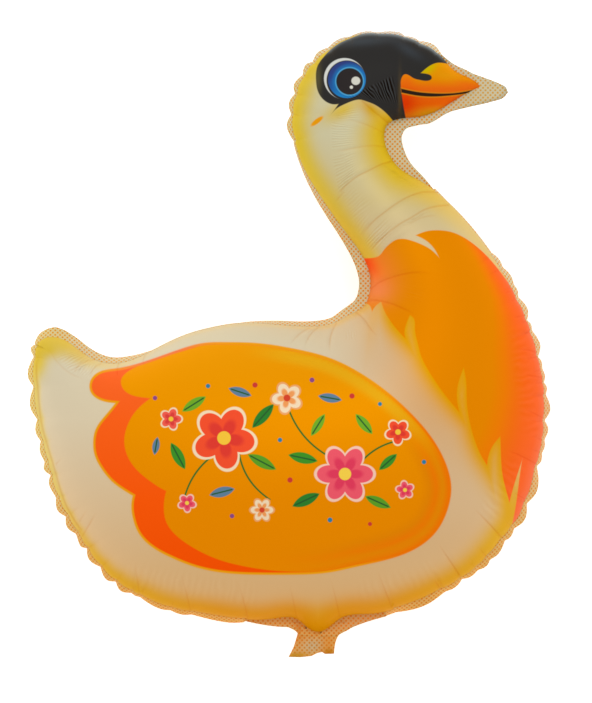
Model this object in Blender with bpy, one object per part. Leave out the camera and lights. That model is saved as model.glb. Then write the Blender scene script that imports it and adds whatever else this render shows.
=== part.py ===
"""A swan foil balloon, blown up and lying on its back, face up.

Two sheets of foil are welded along the swan's outline into one sealed envelope. The
weld stands out all round as a flat border. It puckers into lobes where the outline is
round, and runs down into a filling tail under the belly. The envelope is sealed, so it
is one closed solid. +Z is up, +Y points to the crown and +X to the beak.
"""

from types import SimpleNamespace

import bpy
import numpy as np

# Driving dimensions, in metres
FOIL_HEIGHT = 0.719  # blown-up foil, from the lowest point of the belly to the crown
BORDER_WIDTH = 0.014
BORDER_THICKNESS = 0.0012
TAIL_LENGTH = 0.047  # filling tail, from the belly's seam to its end
TAIL_WAIST = 0.050
TAIL_END = 0.055
TAIL_LEAN = 0.008  # how far its end stands towards the swan's tail
FLAT_SPOT_DEPTH = 0.0075  # how far the round back is pressed in where it lies
NOTCH_DEPTH = 0.0025  # how far each pucker draws the seam in
PUCKER_REACH = 0.040  # how far a pucker runs into the foil
FAN_REACH = 0.010  # stretch of seam over which the border fans round a point

# Shares
FULLNESS = 0.80  # height of the foil against that of a film which stretches freely
PUCKER_SHARE = 0.11  # part of the foil's height that a pucker takes away at the seam
NOTCH_SHOWN = 0.3  # how much of the border shows at a pucker, against the lobe's middle
LOBE_POWER = 0.8  # below 1 it makes the lobes fuller and the puckers sharper
TAIL_WAIST_AT = 0.42  # where the filling tail is narrowest, down its length

# Fineness of the faceted solid
COLUMNS = 184
FRONT_ROWS = 12
BACK_ROWS = 8
SOLVER_ROWS = 16

# The seam's outline is drawn in units of its own, and is brought to FOIL_HEIGHT.
# Upper edge: from the tip of the tail over the back, neck and crown to the tip of the beak
UPPER_EDGE = (
    (-248, 3), (-240, 9), (-231, 10), (-217, 5), (-202, -6), (-190, -13),
    (-175, -16.5), (-156, -14), (-133, -4), (-99, 12), (-74, 19), (-45, 23.5),
    (-5, 22), (27, 20.5), (49, 24), (66, 33), (79, 41), (84, 52),
    (85.5, 67), (83.5, 77.5), (78.5, 89), (57.5, 119), (36, 150), (18, 181),
    (10, 205), (7, 232), (9.5, 247), (19.5, 273), (33, 289), (45.5, 299),
    (67, 311), (91, 314), (117.5, 311), (139, 302.5), (154, 293), (169.5, 276.5),
    (191, 265), (195.5, 260.5),
)  # fmt: skip

# Lower edge: from the tip of the tail round the belly, breast and throat to the beak
LOWER_EDGE = (
    (-248, 3), (-251, -10), (-251.5, -38), (-248.5, -71), (-241, -116), (-230, -152),
    (-210, -190), (-188, -217), (-170, -233), (-145, -248), (-118, -259), (-66, -268.5),
    (-15, -272), (12, -272), (23, -281), (33, -285), (43, -281), (55, -271.5),
    (89, -266.5), (127, -255), (167, -236.5), (193, -218), (216, -192), (229, -176),
    (242, -150), (251, -119), (257.5, -90), (259, -62), (259, -45), (255, -20),
    (249, 5), (240, 31), (228, 56), (210, 87), (185, 121), (161.5, 146),
    (134, 167), (117, 177), (101.5, 199), (99.5, 214), (102.5, 222.5), (110, 227),
    (133, 230), (154, 237), (176, 250.5), (195.5, 260.5),
)  # fmt: skip

# Ribs across the swan: a place on the upper edge and its partner on the lower edge, each
# counted in points of its list. They fan round the crook of the neck and round the throat.
RIBS = (
    (0, 0), (2, 1.3), (3, 2.1), (4, 2.7), (5, 3.3), (6, 4), (7, 5), (8, 6.4),
    (9, 8.6), (10, 10.2), (11, 11.3), (12, 12.6), (13, 15.5), (14, 17.6), (15, 19.5),
    (16, 21.3), (17, 23.5), (18, 26), (19, 28.5), (20, 30.6), (21, 33.4), (22, 35.4),
    (23, 36.8), (24, 37.7), (25, 38.5), (26, 38.9), (27, 39.3), (28, 39.7), (29, 40.1),
    (30, 40.5), (31, 41), (32, 41.6), (33, 42.2), (34, 42.9), (35, 43.7), (36, 44.5),
    (37, 45),
)  # fmt: skip

# How much of the border stands out flat at a place on the edge, as a share of its width.
# What is left of it is turned back. Over 1, the border itself is wider.
UPPER_BORDER = (
    (0, 0.5), (2, 0.85), (3, 0.68), (5, 0.65), (7, 0.4), (8, 0.05), (11, 0.05),
    (12, 0.35), (14, 0.5), (15, 0.72), (16, 0.95), (19, 1), (20, 0.9), (21, 0.55),
    (22, 0.42), (23, 0.15), (24, 0.1), (24.4, 0.42), (28, 0.45), (30.5, 0.2), (32, 0.25),
    (34, 0.45), (36, 0.75), (36.6, 1.4), (37, 2.3),
)  # fmt: skip
LOWER_BORDER = (
    (0, 0.5), (2, 0.48), (4, 0.27), (6, 0.33), (7, 0.42), (10, 0.22), (11, 0.27),
    (12, 0.6), (13, 0.95), (17, 1), (18, 0.42), (19.3, 0.65), (20, 0.45), (23, 0.5),
    (26, 0.3), (27, 0.5), (29, 0.25), (30, 0.42), (32.5, 0.4), (33, 0.1), (35, 0.05),
    (37, 0.9), (38, 1.3), (39, 1.4), (40, 1.05), (41, 0.8), (43, 0.7), (44, 1),
    (44.6, 1.25), (45, 2.3),
)  # fmt: skip

# Puckered stretches of each edge: first and last place, and the spacing from pucker to
# pucker in drawn units. The lobes stand between them.
UPPER_PUCKERS = ((24, 34, (9, 25, 18, 19, 17, 21, 24, 26, 27, 17, 23)),)
LOWER_PUCKERS = (
    (0, 13, (13, 30, 34, 22, 21, 15, 22, 21, 20, 18, 24, 20, 19, 10, 17, 25, 20, 24, 27, 15, 36)),
    (17, 33, (34, 22, 24, 29, 24, 18, 17, 21, 16, 29, 38, 29, 18, 27, 25, 15, 25, 14, 24, 14, 15)),
)

# The part of the lower edge that the filling tail hangs from
TAIL_ROOT = (13, 17)

FOIL_COLOUR = (0.80, 0.38, 0.04, 1.0)
FOIL_ROUGHNESS = 0.35
FOIL_METALLIC = 0.1


def clear_scene():
    for obj in list(bpy.data.objects):
        bpy.data.objects.remove(obj)


def spline_matrix(knots, at):
    """The matrix that turns values at the knots into natural cubic spline values at `at`."""
    count = len(knots)
    gap = np.diff(knots)
    balance = np.zeros((count, count))
    bends = np.zeros((count, count))
    balance[0, 0] = balance[-1, -1] = 1
    for k in range(1, count - 1):
        balance[k, k - 1 : k + 2] = gap[k - 1], 2 * (gap[k - 1] + gap[k]), gap[k]
        bends[k, k - 1] = 6 / gap[k - 1]
        bends[k, k] = -6 / gap[k - 1] - 6 / gap[k]
        bends[k, k + 1] = 6 / gap[k]
    curvature = np.linalg.solve(balance, bends)
    span = np.clip(np.searchsorted(knots, at, side="right") - 1, 0, count - 2)
    width = gap[span]
    after = (at - knots[span]) / width
    before = 1 - after
    rows = np.arange(len(at))
    matrix = np.zeros((len(at), count))
    matrix[rows, span] = before
    matrix[rows, span + 1] = after
    matrix += ((before**3 - before) * width**2 / 6)[:, None] * curvature[span]
    matrix += ((after**3 - after) * width**2 / 6)[:, None] * curvature[span + 1]
    return matrix


def rising_curve(knots, values, at):
    """A smooth curve through rising values that never turns back."""
    slope = np.diff(values) / np.diff(knots)
    inner = 2 * slope[1:] * slope[:-1] / (slope[1:] + slope[:-1])
    tangent = np.concatenate((slope[:1], inner, slope[-1:]))
    span = np.clip(np.searchsorted(knots, at, side="right") - 1, 0, len(knots) - 2)
    width = np.diff(knots)[span]
    t = (at - knots[span]) / width
    start = (1 + 2 * t) * (1 - t) ** 2 * values[span]
    start += t * (1 - t) ** 2 * width * tangent[span]
    end = t**2 * (3 - 2 * t) * values[span + 1]
    end += t**2 * (t - 1) * width * tangent[span + 1]
    return start + end


class Edge:
    """One edge of the swan: a smooth curve through its points, with its border's details."""

    def __init__(self, points, border, puckers, scale):
        self.points = np.array(points) * scale
        steps = np.linalg.norm(np.diff(self.points, axis=0), axis=1)
        self.knots = np.concatenate(([0], np.cumsum(steps)))
        self.border = np.array(border)
        self.puckers = puckers

    def length_at(self, place):
        """The length along the edge of a place that is counted in points of its list."""
        return np.interp(place, np.arange(len(self.knots)), self.knots)

    def points_at(self, length):
        return spline_matrix(self.knots, length) @ self.points

    def lobes_at(self, length):
        """1 on smooth seam. On a puckered stretch, from 0 at a pucker to 1 between two."""
        lobe = np.ones(len(length))
        for first, last, spacing in self.puckers:
            start, end = self.length_at(first), self.length_at(last)
            marks = np.concatenate(([0], np.cumsum(spacing)))
            marks = start + (end - start) * marks / marks[-1]
            number = np.interp(length, marks, np.arange(len(marks)))
            wave = np.abs(np.sin(np.pi * number)) ** LOBE_POWER
            lobe = np.where((length > start) & (length < end), wave, lobe)
        return lobe

    def border_at(self, length):
        """How much of the border stands out flat, as a share of its width."""
        share = np.interp(length, self.length_at(self.border[:, 0]), self.border[:, 1])
        return share * (NOTCH_SHOWN + (1 - NOTCH_SHOWN) * self.lobes_at(length))

    def sampled(self, length):
        return SimpleNamespace(
            length=length,
            flat=self.points_at(length),
            lobe=self.lobes_at(length),
            share=self.border_at(length),
        )


def make_edges():
    drawn = np.array(UPPER_EDGE)[:, 1].max() - np.array(LOWER_EDGE)[:, 1].min()
    scale = FOIL_HEIGHT / drawn
    upper = Edge(UPPER_EDGE, UPPER_BORDER, UPPER_PUCKERS, scale)
    lower = Edge(LOWER_EDGE, LOWER_BORDER, LOWER_PUCKERS, scale)
    return upper, lower


def rib_ends(upper, lower):
    """Lengths along both edges where the ribs end, with the longer steps evenly divided."""
    ribs = np.array(RIBS)
    number = np.arange(len(ribs))
    fine = np.linspace(0, number[-1], 40 * len(ribs))
    on_upper = rising_curve(number, upper.length_at(ribs[:, 0]), fine)
    on_lower = rising_curve(number, lower.length_at(ribs[:, 1]), fine)
    steps = np.maximum(np.diff(on_upper), np.diff(on_lower))
    run = np.concatenate(([0], np.cumsum(steps)))
    even = np.linspace(0, run[-1], COLUMNS + 1)
    return np.interp(even, run, on_upper), np.interp(even, run, on_lower)


def round_seam(along_upper, along_lower):
    """Values round the seam: over the upper edge to the beak, and back by the lower edge."""
    return np.concatenate((along_upper[:-1], along_lower[:0:-1]))


def split_seam(ring):
    """The upper and the lower edge again, from values round the seam."""
    middle = len(ring) // 2
    return ring[: middle + 1], np.concatenate((ring[:1], ring[: middle - 1 : -1]))


def outward(seam):
    """Unit directions out of the seam in its plane, evened out so that they fan at points."""
    ahead, behind = np.roll(seam, -1, axis=0), np.roll(seam, 1, axis=0)
    step = np.linalg.norm(ahead - seam, axis=1)
    place = np.concatenate(([0], np.cumsum(step)))
    along = ahead - behind
    out = np.stack((-along[:, 1], along[:, 0]), axis=1)
    out /= np.linalg.norm(out, axis=1, keepdims=True)
    apart = np.abs(place[:-1, None] - place[None, :-1])
    apart = np.minimum(apart, place[-1] - apart)
    weight = np.maximum(1 - apart / FAN_REACH, 0) + np.eye(len(seam))
    out = weight @ out
    return out / np.linalg.norm(out, axis=1, keepdims=True)


def filling_tail(root, count):
    """So many points down, across and up the filling tail, below the ends of its root."""
    middle, top = root.mean(axis=0)
    corners = np.array((
        (-TAIL_WAIST / 2, BORDER_WIDTH),
        (-TAIL_WAIST / 2, TAIL_LENGTH * TAIL_WAIST_AT),
        (-TAIL_END / 2 - TAIL_LEAN, TAIL_LENGTH),
        (TAIL_END / 2 - TAIL_LEAN, TAIL_LENGTH),
        (TAIL_WAIST / 2, TAIL_LENGTH * TAIL_WAIST_AT),
        (TAIL_WAIST / 2, BORDER_WIDTH),
    ))
    corners = np.array((middle, top)) + corners * (1, -1)
    steps = np.linalg.norm(np.diff(corners, axis=0), axis=1)
    share = np.concatenate(([0], np.cumsum(steps))) / steps.sum()
    at = np.linspace(0, 1, count)
    share = np.round(share * (count - 1)) / (count - 1)  # each corner falls on a point
    return np.stack([np.interp(at, share, corners[:, k]) for k in (0, 1)], axis=1)


def seam_rings(upper, lower, tail_root):
    """Four rings of points: the seam above and below, and the border's outer edge likewise."""
    lobe = round_seam(upper.lobe, lower.lobe)
    share = round_seam(upper.share, lower.share)
    seam = round_seam(upper.flat, lower.flat)
    out = outward(seam)
    seam = seam - out * (NOTCH_DEPTH * (1 - lobe))[:, None]
    turned = np.sqrt(1 - np.minimum(share, 1) ** 2)
    edge = np.zeros((len(seam), 3))
    edge[:, :2] = seam + out * (BORDER_WIDTH * share)[:, None]
    edge[:, 2] = -BORDER_WIDTH * turned

    # The filling tail lies flat
    start, end = tail_root.length
    tail = len(seam) - np.where((lower.length >= start) & (lower.length <= end))[0]
    edge[tail, :2] = filling_tail(tail_root.flat, len(tail))
    edge[tail, 2] = 0
    turned[tail] = 0

    half = np.zeros((len(seam), 3))
    half[:, :2] = out * turned[:, None]
    half[:, 2] = np.sqrt(1 - turned**2)
    half *= BORDER_THICKNESS / 2
    seam = np.concatenate((seam, np.zeros((len(seam), 1))), axis=1)
    return seam + half, seam - half, edge + half, edge - half


def flat_grid(upper, lower, rows):
    """Points across each rib, closer together towards the seam, where the foil is steep."""
    share = across_ribs(rows)[None, :, None]
    return lower[:, None, :] * (1 - share) + upper[:, None, :] * share


def across_ribs(rows):
    return (1 - np.cos(np.linspace(0, np.pi, rows + 1))) / 2


def film_height(flat):
    """Height of a blown-up film over a grid of flat points, which is fixed at its rim.

    Under an even load a film sags by f, where the sum of its second derivatives is the
    same everywhere. Over a long strip, the root of 2 f is half a circle, as in a tube of
    foil, so the height is that root.
    """
    columns, rows = flat.shape[0] - 1, flat.shape[1] - 1
    index = np.arange((columns + 1) * (rows + 1)).reshape(columns + 1, rows + 1)
    a, b = index[:-1, :-1].ravel(), index[1:, :-1].ravel()
    c, d = index[1:, 1:].ravel(), index[:-1, 1:].ravel()
    triangles = np.concatenate((np.stack((a, b, c), 1), np.stack((a, c, d), 1)))
    corners = flat.reshape(-1, 2)[triangles]
    side = corners[:, (2, 0, 1)] - corners[:, (1, 2, 0)]
    area = np.abs(side[:, 0, 0] * side[:, 1, 1] - side[:, 0, 1] * side[:, 1, 0]) / 2
    real = area > 1e-12
    triangles, side, area = triangles[real], side[real], area[real]
    stiffness = np.zeros((index.size, index.size))
    load = np.zeros(index.size)
    for p in range(3):
        np.add.at(load, triangles[:, p], area / 3)
        for q in range(3):
            pull = (side[:, p] * side[:, q]).sum(axis=1) / (4 * area)
            np.add.at(stiffness, (triangles[:, p], triangles[:, q]), pull)
    inner = index[1:-1, 1:-1].ravel()
    twice_sag = np.zeros(index.size)
    twice_sag[inner] = np.linalg.solve(stiffness[np.ix_(inner, inner)], 2 * load[inner])
    return np.sqrt(np.maximum(twice_sag, 0)).reshape(index.shape)


def foil_face(upper, lower, seam, solved, rows):
    """One face of the envelope: points over each rib, drawn in towards the puckers."""
    on_upper, on_lower = split_seam(seam)
    flat = flat_grid(on_upper, on_lower, rows)
    to_rows = spline_matrix(np.linspace(0, 1, SOLVER_ROWS + 1), np.linspace(0, 1, rows + 1))
    height = FULLNESS * solved @ to_rows.T
    rib = np.linalg.norm(on_upper - on_lower, axis=1)[:, None]
    share = across_ribs(rows)[None, :]
    pressed = (1 - lower.lobe)[:, None] * np.exp(-rib * share / PUCKER_REACH)
    pressed += (1 - upper.lobe)[:, None] * np.exp(-rib * (1 - share) / PUCKER_REACH)
    height *= 1 - PUCKER_SHARE * pressed
    return np.concatenate((flat, height[:, :, None]), axis=2)


def make_balloon():
    upper_edge, lower_edge = make_edges()
    on_upper, on_lower = rib_ends(upper_edge, lower_edge)
    upper, lower = upper_edge.sampled(on_upper), lower_edge.sampled(on_lower)
    tail_root = lower_edge.sampled(lower_edge.length_at(TAIL_ROOT))
    rings = seam_rings(upper, lower, tail_root)
    seam = (rings[0] + rings[1])[:, :2] / 2
    solved = film_height(flat_grid(*split_seam(seam), SOLVER_ROWS))
    front = foil_face(upper, lower, seam, solved, FRONT_ROWS)
    back = foil_face(upper, lower, seam, solved, BACK_ROWS)
    back[:, :, 2] = -np.minimum(back[:, :, 2], back[:, :, 2].max() - FLAT_SPOT_DEPTH)

    blocks = [front[1:-1, 1:-1].reshape(-1, 3), back[1:-1, 1:-1].reshape(-1, 3), *rings]
    starts = np.cumsum([0] + [len(block) for block in blocks]).tolist()
    vertices = np.concatenate(blocks)
    count = len(seam)
    faces = []

    def add_face(corners, turn):
        faces.append(tuple(dict.fromkeys(corners))[::turn])

    def add_film(first, seam_first, rows, turn):
        grid = np.empty((COLUMNS + 1, rows + 1), int)
        inner = np.arange((COLUMNS - 1) * (rows - 1)).reshape(COLUMNS - 1, rows - 1)
        grid[1:-1, 1:-1] = first + inner
        grid[:, -1], grid[:, 0] = split_seam(seam_first + np.arange(count))
        grid[0, :], grid[-1, :] = grid[0, -1], grid[-1, -1]
        grid = grid.tolist()
        for i in range(COLUMNS):
            for j in range(rows):
                here, there = grid[i], grid[i + 1]
                add_face((here[j], there[j], there[j + 1], here[j + 1]), turn)

    def add_band(inside, outside, turn):
        for k in range(count):
            n = (k + 1) % count
            add_face((inside + n, outside + n, outside + k, inside + k), turn)

    add_film(starts[0], starts[2], FRONT_ROWS, 1)
    add_film(starts[1], starts[3], BACK_ROWS, -1)
    add_band(starts[2], starts[4], 1)
    add_band(starts[3], starts[5], -1)
    add_band(starts[4], starts[5], 1)

    # The origin is on the surface that the balloon lies on, under the middle of its box
    low, high = vertices.min(axis=0), vertices.max(axis=0)
    vertices -= ((low[0] + high[0]) / 2, (low[1] + high[1]) / 2, low[2])
    mesh = bpy.data.meshes.new("balloon")
    mesh.from_pydata(vertices.tolist(), [], faces)
    mesh.shade_smooth()
    balloon = bpy.data.objects.new("balloon", mesh)
    bpy.context.scene.collection.objects.link(balloon)
    return balloon


def printed_foil():
    material = bpy.data.materials.new("printed_foil")
    material.use_nodes = True
    shader = material.node_tree.nodes["Principled BSDF"]
    shader.inputs["Base Color"].default_value = FOIL_COLOUR
    shader.inputs["Roughness"].default_value = FOIL_ROUGHNESS
    shader.inputs["Metallic"].default_value = FOIL_METALLIC
    return material


def main():
    clear_scene()
    balloon = make_balloon()
    balloon.data.materials.append(printed_foil())


main()
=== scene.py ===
# Swan foil balloon, lying face up on a pale floor.
# Metres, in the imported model's frame: +Y to the crown, +X to the beak, +Z up out of the face.
from functools import partial

import bpy
import numpy as np
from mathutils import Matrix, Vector


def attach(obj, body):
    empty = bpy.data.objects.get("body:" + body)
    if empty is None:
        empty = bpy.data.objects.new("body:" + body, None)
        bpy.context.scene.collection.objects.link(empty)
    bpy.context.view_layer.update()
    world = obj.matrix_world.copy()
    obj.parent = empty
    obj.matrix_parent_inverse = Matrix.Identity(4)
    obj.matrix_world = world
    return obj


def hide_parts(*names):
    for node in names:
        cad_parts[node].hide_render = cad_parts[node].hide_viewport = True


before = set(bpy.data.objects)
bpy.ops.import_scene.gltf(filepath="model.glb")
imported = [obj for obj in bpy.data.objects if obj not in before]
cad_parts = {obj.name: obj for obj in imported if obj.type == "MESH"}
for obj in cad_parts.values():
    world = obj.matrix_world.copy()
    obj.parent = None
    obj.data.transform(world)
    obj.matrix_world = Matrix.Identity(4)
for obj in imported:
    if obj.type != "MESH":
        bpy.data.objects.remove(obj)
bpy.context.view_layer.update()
print("frame loaded")

# The edges' points below are counted in photo pixels from the drawing's centre, y upwards
drawing = {
    "foilHeight": 0.719,  # belly to crown, metres
    "centre": (285, 347),  # the photo pixel at the drawing's origin
    "shift": (-0.00443, -0.00297),  # from the drawing's origin to the frame's
    "seamLevel": 0.11985,  # height of the seam over the floor
    "eye": (296, 351.5),  # the photo pixel straight under the camera
    "eyeDistance": 7.0,  # camera to seam plane
    "photoHeight": 703,
}

# Upper edge: tail tip, back, neck, crown, beak tip
upperEdge = (
    (-248, 3), (-240, 9), (-231, 10), (-217, 5), (-202, -6), (-190, -13),
    (-175, -16.5), (-156, -14), (-133, -4), (-99, 12), (-74, 19), (-45, 23.5),
    (-5, 22), (27, 20.5), (49, 24), (66, 33), (79, 41), (84, 52),
    (85.5, 67), (83.5, 77.5), (78.5, 89), (57.5, 119), (36, 150), (18, 181),
    (10, 205), (7, 232), (9.5, 247), (19.5, 273), (33, 289), (45.5, 299),
    (67, 311), (91, 314), (117.5, 311), (139, 302.5), (154, 293), (169.5, 276.5),
    (191, 265), (195.5, 260.5),
)

# Lower edge: tail tip, belly, breast, throat, beak tip
lowerEdge = (
    (-248, 3), (-251, -10), (-251.5, -38), (-247.5, -71), (-237, -114.5), (-226.5, -150),
    (-206.5, -186.5), (-187, -216), (-170, -233), (-145, -248), (-118, -259), (-66, -268.5),
    (-15, -272), (12, -272), (23, -281), (33, -285), (43, -281), (55, -271.5),
    (89, -266.5), (127, -255), (167, -236.5), (193, -218), (216, -192), (229, -176),
    (242, -150), (251, -119), (257.5, -90), (259, -62), (259, -45), (255, -20),
    (249, 5), (240, 31), (228, 56), (210, 87), (185, 121), (161.5, 146),
    (134, 167), (117, 177), (101.5, 199), (99.5, 214), (102.5, 222.5), (110, 227),
    (133, 230), (154, 237), (176, 250.5), (195.5, 260.5),
)

# Ribs across the swan, from a place on the upper edge to its partner on the lower one
ribs = (
    (0, 0), (2, 1.3), (3, 2.1), (4, 2.7), (5, 3.3), (6, 4), (7, 5), (8, 6.4),
    (9, 8.6), (10, 10.2), (11, 11.3), (12, 12.6), (13, 15.5), (14, 17.6), (15, 19.5),
    (16, 21.3), (17, 23.5), (18, 26), (19, 28.5), (20, 30.6), (21, 33.4), (22, 35.4),
    (23, 36.8), (24, 37.7), (25, 38.5), (26, 38.9), (27, 39.3), (28, 39.7), (29, 40.1),
    (30, 40.5), (31, 41), (32, 41.6), (33, 42.2), (34, 42.9), (35, 43.7), (36, 44.5),
    (37, 45),
)

# How much of the border stands out flat at a place on the edge. The rest is turned back.
upperBorder = (
    (0, 0.25), (0.6, 0.5), (2, 0.85), (3, 0.68), (5, 0.65), (7, 0.4), (8, 0.05), (11, 0.05),
    (12, 0.35), (14, 0.5), (15, 0.72), (16, 0.95), (19, 1), (20, 0.9), (21, 0.55),
    (22, 0.42), (23, 0.15), (24, 0.1), (24.4, 0.42), (28, 0.45), (30.5, 0.2), (32, 0.25),
    (34, 0.22), (36, 0.75), (36.6, 1.4), (37, 2.3),
)
lowerBorder = (
    (0, 0.5), (9, 0.3), (12, 0.3), (17, 0.7), (18, 0.42), (18.6, 0.32), (32.7, 0.25),
    (33, 0.12), (35, 0.05), (36, 0.3), (45, 1),
)

# Puckered stretches of the seam: the place on the edge that they are counted from, and for each
# pucker its pixels from the one before, how far out the border reaches at it, how far at the
# tip of the lobe that follows, and how far along the lobe the tip lies
upperPuckers = (
    (24, ((1, 0.5, 5, 0.6), (27, 0.5, 4.5, 0.55), (21, 1, 4.8, 0.4), (20, 1, 4.5, 0.6),
          (16, 1, 4.5, 0.5), (21, 2, 3.2, 0.4), (24, 0.5, 2.3, 0.65), (27, 1, 3.2, 0.75),
          (28, 1, 2.4, 0.7), (15, 1.5, 4.8, 0.6), (23, 2.5, 0, 0))),
)
lowerPuckers = (
    (0, ((1, 1.5, 5, 0.35), (12, 0.5, 5.4, 0.6), (30, 0.4, 5.6, 0.55), (33, 0.8, 4.8, 0.55),
         (22, 2.2, 5.4, 0.5), (21, 3.6, 6, 0.45), (14, 1, 5, 0.4), (23, 2.8, 6.6, 0.55),
         (21, 2.4, 6.6, 0.5), (20, 2.6, 5, 0.7), (18, 0.8, 5.2, 0.45), (23, 0.8, 5.4, 0.6),
         (21, 1, 5.8, 0.5), (19, 2.3, 3, 0.5), (9, 2, 5, 0.7), (33, 3.4, 4.9, 0.55),
         (21, 3.2, 5.8, 0.6), (56, 3, 0, 0))),
    (17, ((54, 3.5, 8.3, 0.55), (54, 4.3, 5.2, 0.4), (21, 1.5, 4.7, 0.6), (18, 4, 6.8, 0.6),
          (15, 5.2, 7.6, 0.4), (24, 4.2, 6, 0.4), (15, 3.6, 7.4, 0.45), (27, 2.4, 7.7, 0.4),
          (39, 1, 4, 0.5), (14, 2.8, 4, 0.5), (13, 2.5, 5.1, 0.5), (19, 1, 6.4, 0.45),
          (26, 1.8, 3.4, 0.5), (12, 1, 3.3, 0.5), (13, 2.2, 2.9, 0.5), (13, 0.4, 5.4, 0.45),
          (27, 1.8, 2.7, 0.5), (11, 0.5, 5.3, 0.45), (25, 2, 4.6, 0.65), (13, 4, 5.6, 0.4),
          (20, 3, 4, 0.4), (17, 2, 0, 0))),
)

envelope = {
    "columns": 1040,  # along the swan
    "rows": 92,  # across it, front
    "backColumns": 520,
    "backRows": 48,
    "solverColumns": 184,
    "solverRows": 16,
    "fullness": 0.80,  # height against that of a film that stretches freely
    "notchDepth": 0.0016,  # how far a pucker draws the seam in
    "puckerDepth": 0.0012,  # groove in the foil just inside the seam
    "puckerStart": 0.006,  # it is full depth this far in
    "puckerReach": 0.016,  # how far it runs in
    "lobePower": 1.1,
    "chartMargin": 0.01,  # of the UV square
    "deepNick": 4,  # pixels between lobe and nick that count as fully puckered
    "borderWidth": 0.014,
    "fanReach": 0.010,  # stretch of seam over which the border fans round a point
}

unit = drawing["foilHeight"] / (max(y for _, y in upperEdge) - min(y for _, y in lowerEdge))


# Flat points of the drawing from photo pixels
def flatPoints(pixels):
    return (np.array(pixels, float) - drawing["centre"]) * (unit, -unit)


# Photo pixels from flat points of the drawing
def flatPixels(flat):
    return np.array(drawing["centre"]) + flat / unit * (1, -1)


toFrame = np.array((*drawing["shift"], drawing["seamLevel"]))
eyePlace = flatPoints(drawing["eye"]) + drawing["shift"]
eyeHeight = drawing["seamLevel"] + drawing["eyeDistance"]


# Photo pixels straight below points of the frame, for the back and the border
def pixelsBelow(points):
    return flatPixels(points[..., :2] - drawing["shift"])


# Photo pixels under the camera's rays through points of the frame: each point is pushed along
# its ray to the seam plane
def pixelsSeen(points):
    reach = drawing["eyeDistance"] / (eyeHeight - points[..., 2:3])
    onPlane = eyePlace + (points[..., :2] - eyePlace) * reach
    return flatPixels(onPlane - drawing["shift"])


# Natural cubic spline as a matrix: values at the knots in, values at the places out
def splineMatrix(knots, at):
    count = len(knots)
    gap = np.diff(knots)
    balance = np.zeros((count, count))
    bends = np.zeros((count, count))
    balance[0, 0] = balance[-1, -1] = 1
    for k in range(1, count - 1):
        balance[k, k - 1 : k + 2] = gap[k - 1], 2 * (gap[k - 1] + gap[k]), gap[k]
        bends[k, k - 1 : k + 2] = 6 / gap[k - 1], -6 / gap[k - 1] - 6 / gap[k], 6 / gap[k]
    curvature = np.linalg.solve(balance, bends)
    span = np.clip(np.searchsorted(knots, at, side="right") - 1, 0, count - 2)
    width = gap[span]
    after = (at - knots[span]) / width
    before = 1 - after
    rows = np.arange(len(at))
    matrix = np.zeros((len(at), count))
    matrix[rows, span] = before
    matrix[rows, span + 1] = after
    matrix += ((before**3 - before) * width**2 / 6)[:, None] * curvature[span]
    matrix += ((after**3 - after) * width**2 / 6)[:, None] * curvature[span + 1]
    return matrix


# Smooth curve through rising values that never turns back
def risingCurve(knots, values, at):
    slope = np.diff(values) / np.diff(knots)
    inner = 2 * slope[1:] * slope[:-1] / (slope[1:] + slope[:-1])
    tangent = np.concatenate((slope[:1], inner, slope[-1:]))
    span = np.clip(np.searchsorted(knots, at, side="right") - 1, 0, len(knots) - 2)
    width = np.diff(knots)[span]
    t = (at - knots[span]) / width
    start = (1 + 2 * t) * (1 - t) ** 2 * values[span] + t * (1 - t) ** 2 * width * tangent[span]
    end = t**2 * (3 - 2 * t) * values[span + 1] + t**2 * (t - 1) * width * tangent[span + 1]
    return start + end


def chordKnots(points):
    return np.concatenate(([0], np.cumsum(np.linalg.norm(np.diff(points, axis=0), axis=1))))


# Cubic fade from 0 at one value to 1 at another
def fade(value, start, end):
    t = np.clip((value - start) / (end - start), 0, 1)
    return t * t * (3 - 2 * t)


# An edge of the swan with its border's details, for lengths along it
class Edge:
    def __init__(self, points, border, puckers):
        self.points = np.array(points, float) * unit
        self.knots = chordKnots(self.points)
        self.border = np.array(border)
        self.puckers = puckers

    def lengthAt(self, place):
        return np.interp(place, np.arange(len(self.knots)), self.knots)

    def pointsAt(self, length):
        return splineMatrix(self.knots, length) @ self.points

    # The border's share of its width that shows, the number of the pucker, counted along its
    # stretch with -1 on smooth seam, and how puckered the seam is: 0 at a lobe's tip and 1 at a
    # deep nick. A lobe rises by sin(pi / 2 * share of the way to its tip) to a power.
    def borderAt(self, length):
        share = np.interp(length, self.lengthAt(self.border[:, 0]), self.border[:, 1])
        number = np.full(len(length), -1.0)
        puckered = np.zeros(len(length))
        for first, marks in self.puckers:
            step, nick, peak, tip = np.array(marks).T
            at = self.lengthAt(first) + np.cumsum(step) * unit
            here = (length > at[0]) & (length < at[-1])
            count = np.interp(length[here], at, np.arange(len(at)))
            lobe = np.floor(count).astype(int)
            along = count - lobe
            rise = np.minimum(along / tip[lobe], (1 - along) / (1 - tip[lobe]))
            rise = np.sin(np.pi / 2 * np.clip(rise, 0, 1)) ** envelope["lobePower"]
            low = nick[lobe] + (nick[lobe + 1] - nick[lobe]) * along
            share[here] = (low + (peak[lobe] - low) * rise) * unit / envelope["borderWidth"]
            number[here] = count
            puckered[here] = np.clip((peak[lobe] - low) / envelope["deepNick"], 0, 1) * (1 - rise)
        return share, number, puckered


upper = Edge(upperEdge, upperBorder, upperPuckers)
lower = Edge(lowerEdge, lowerBorder, lowerPuckers)


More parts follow.
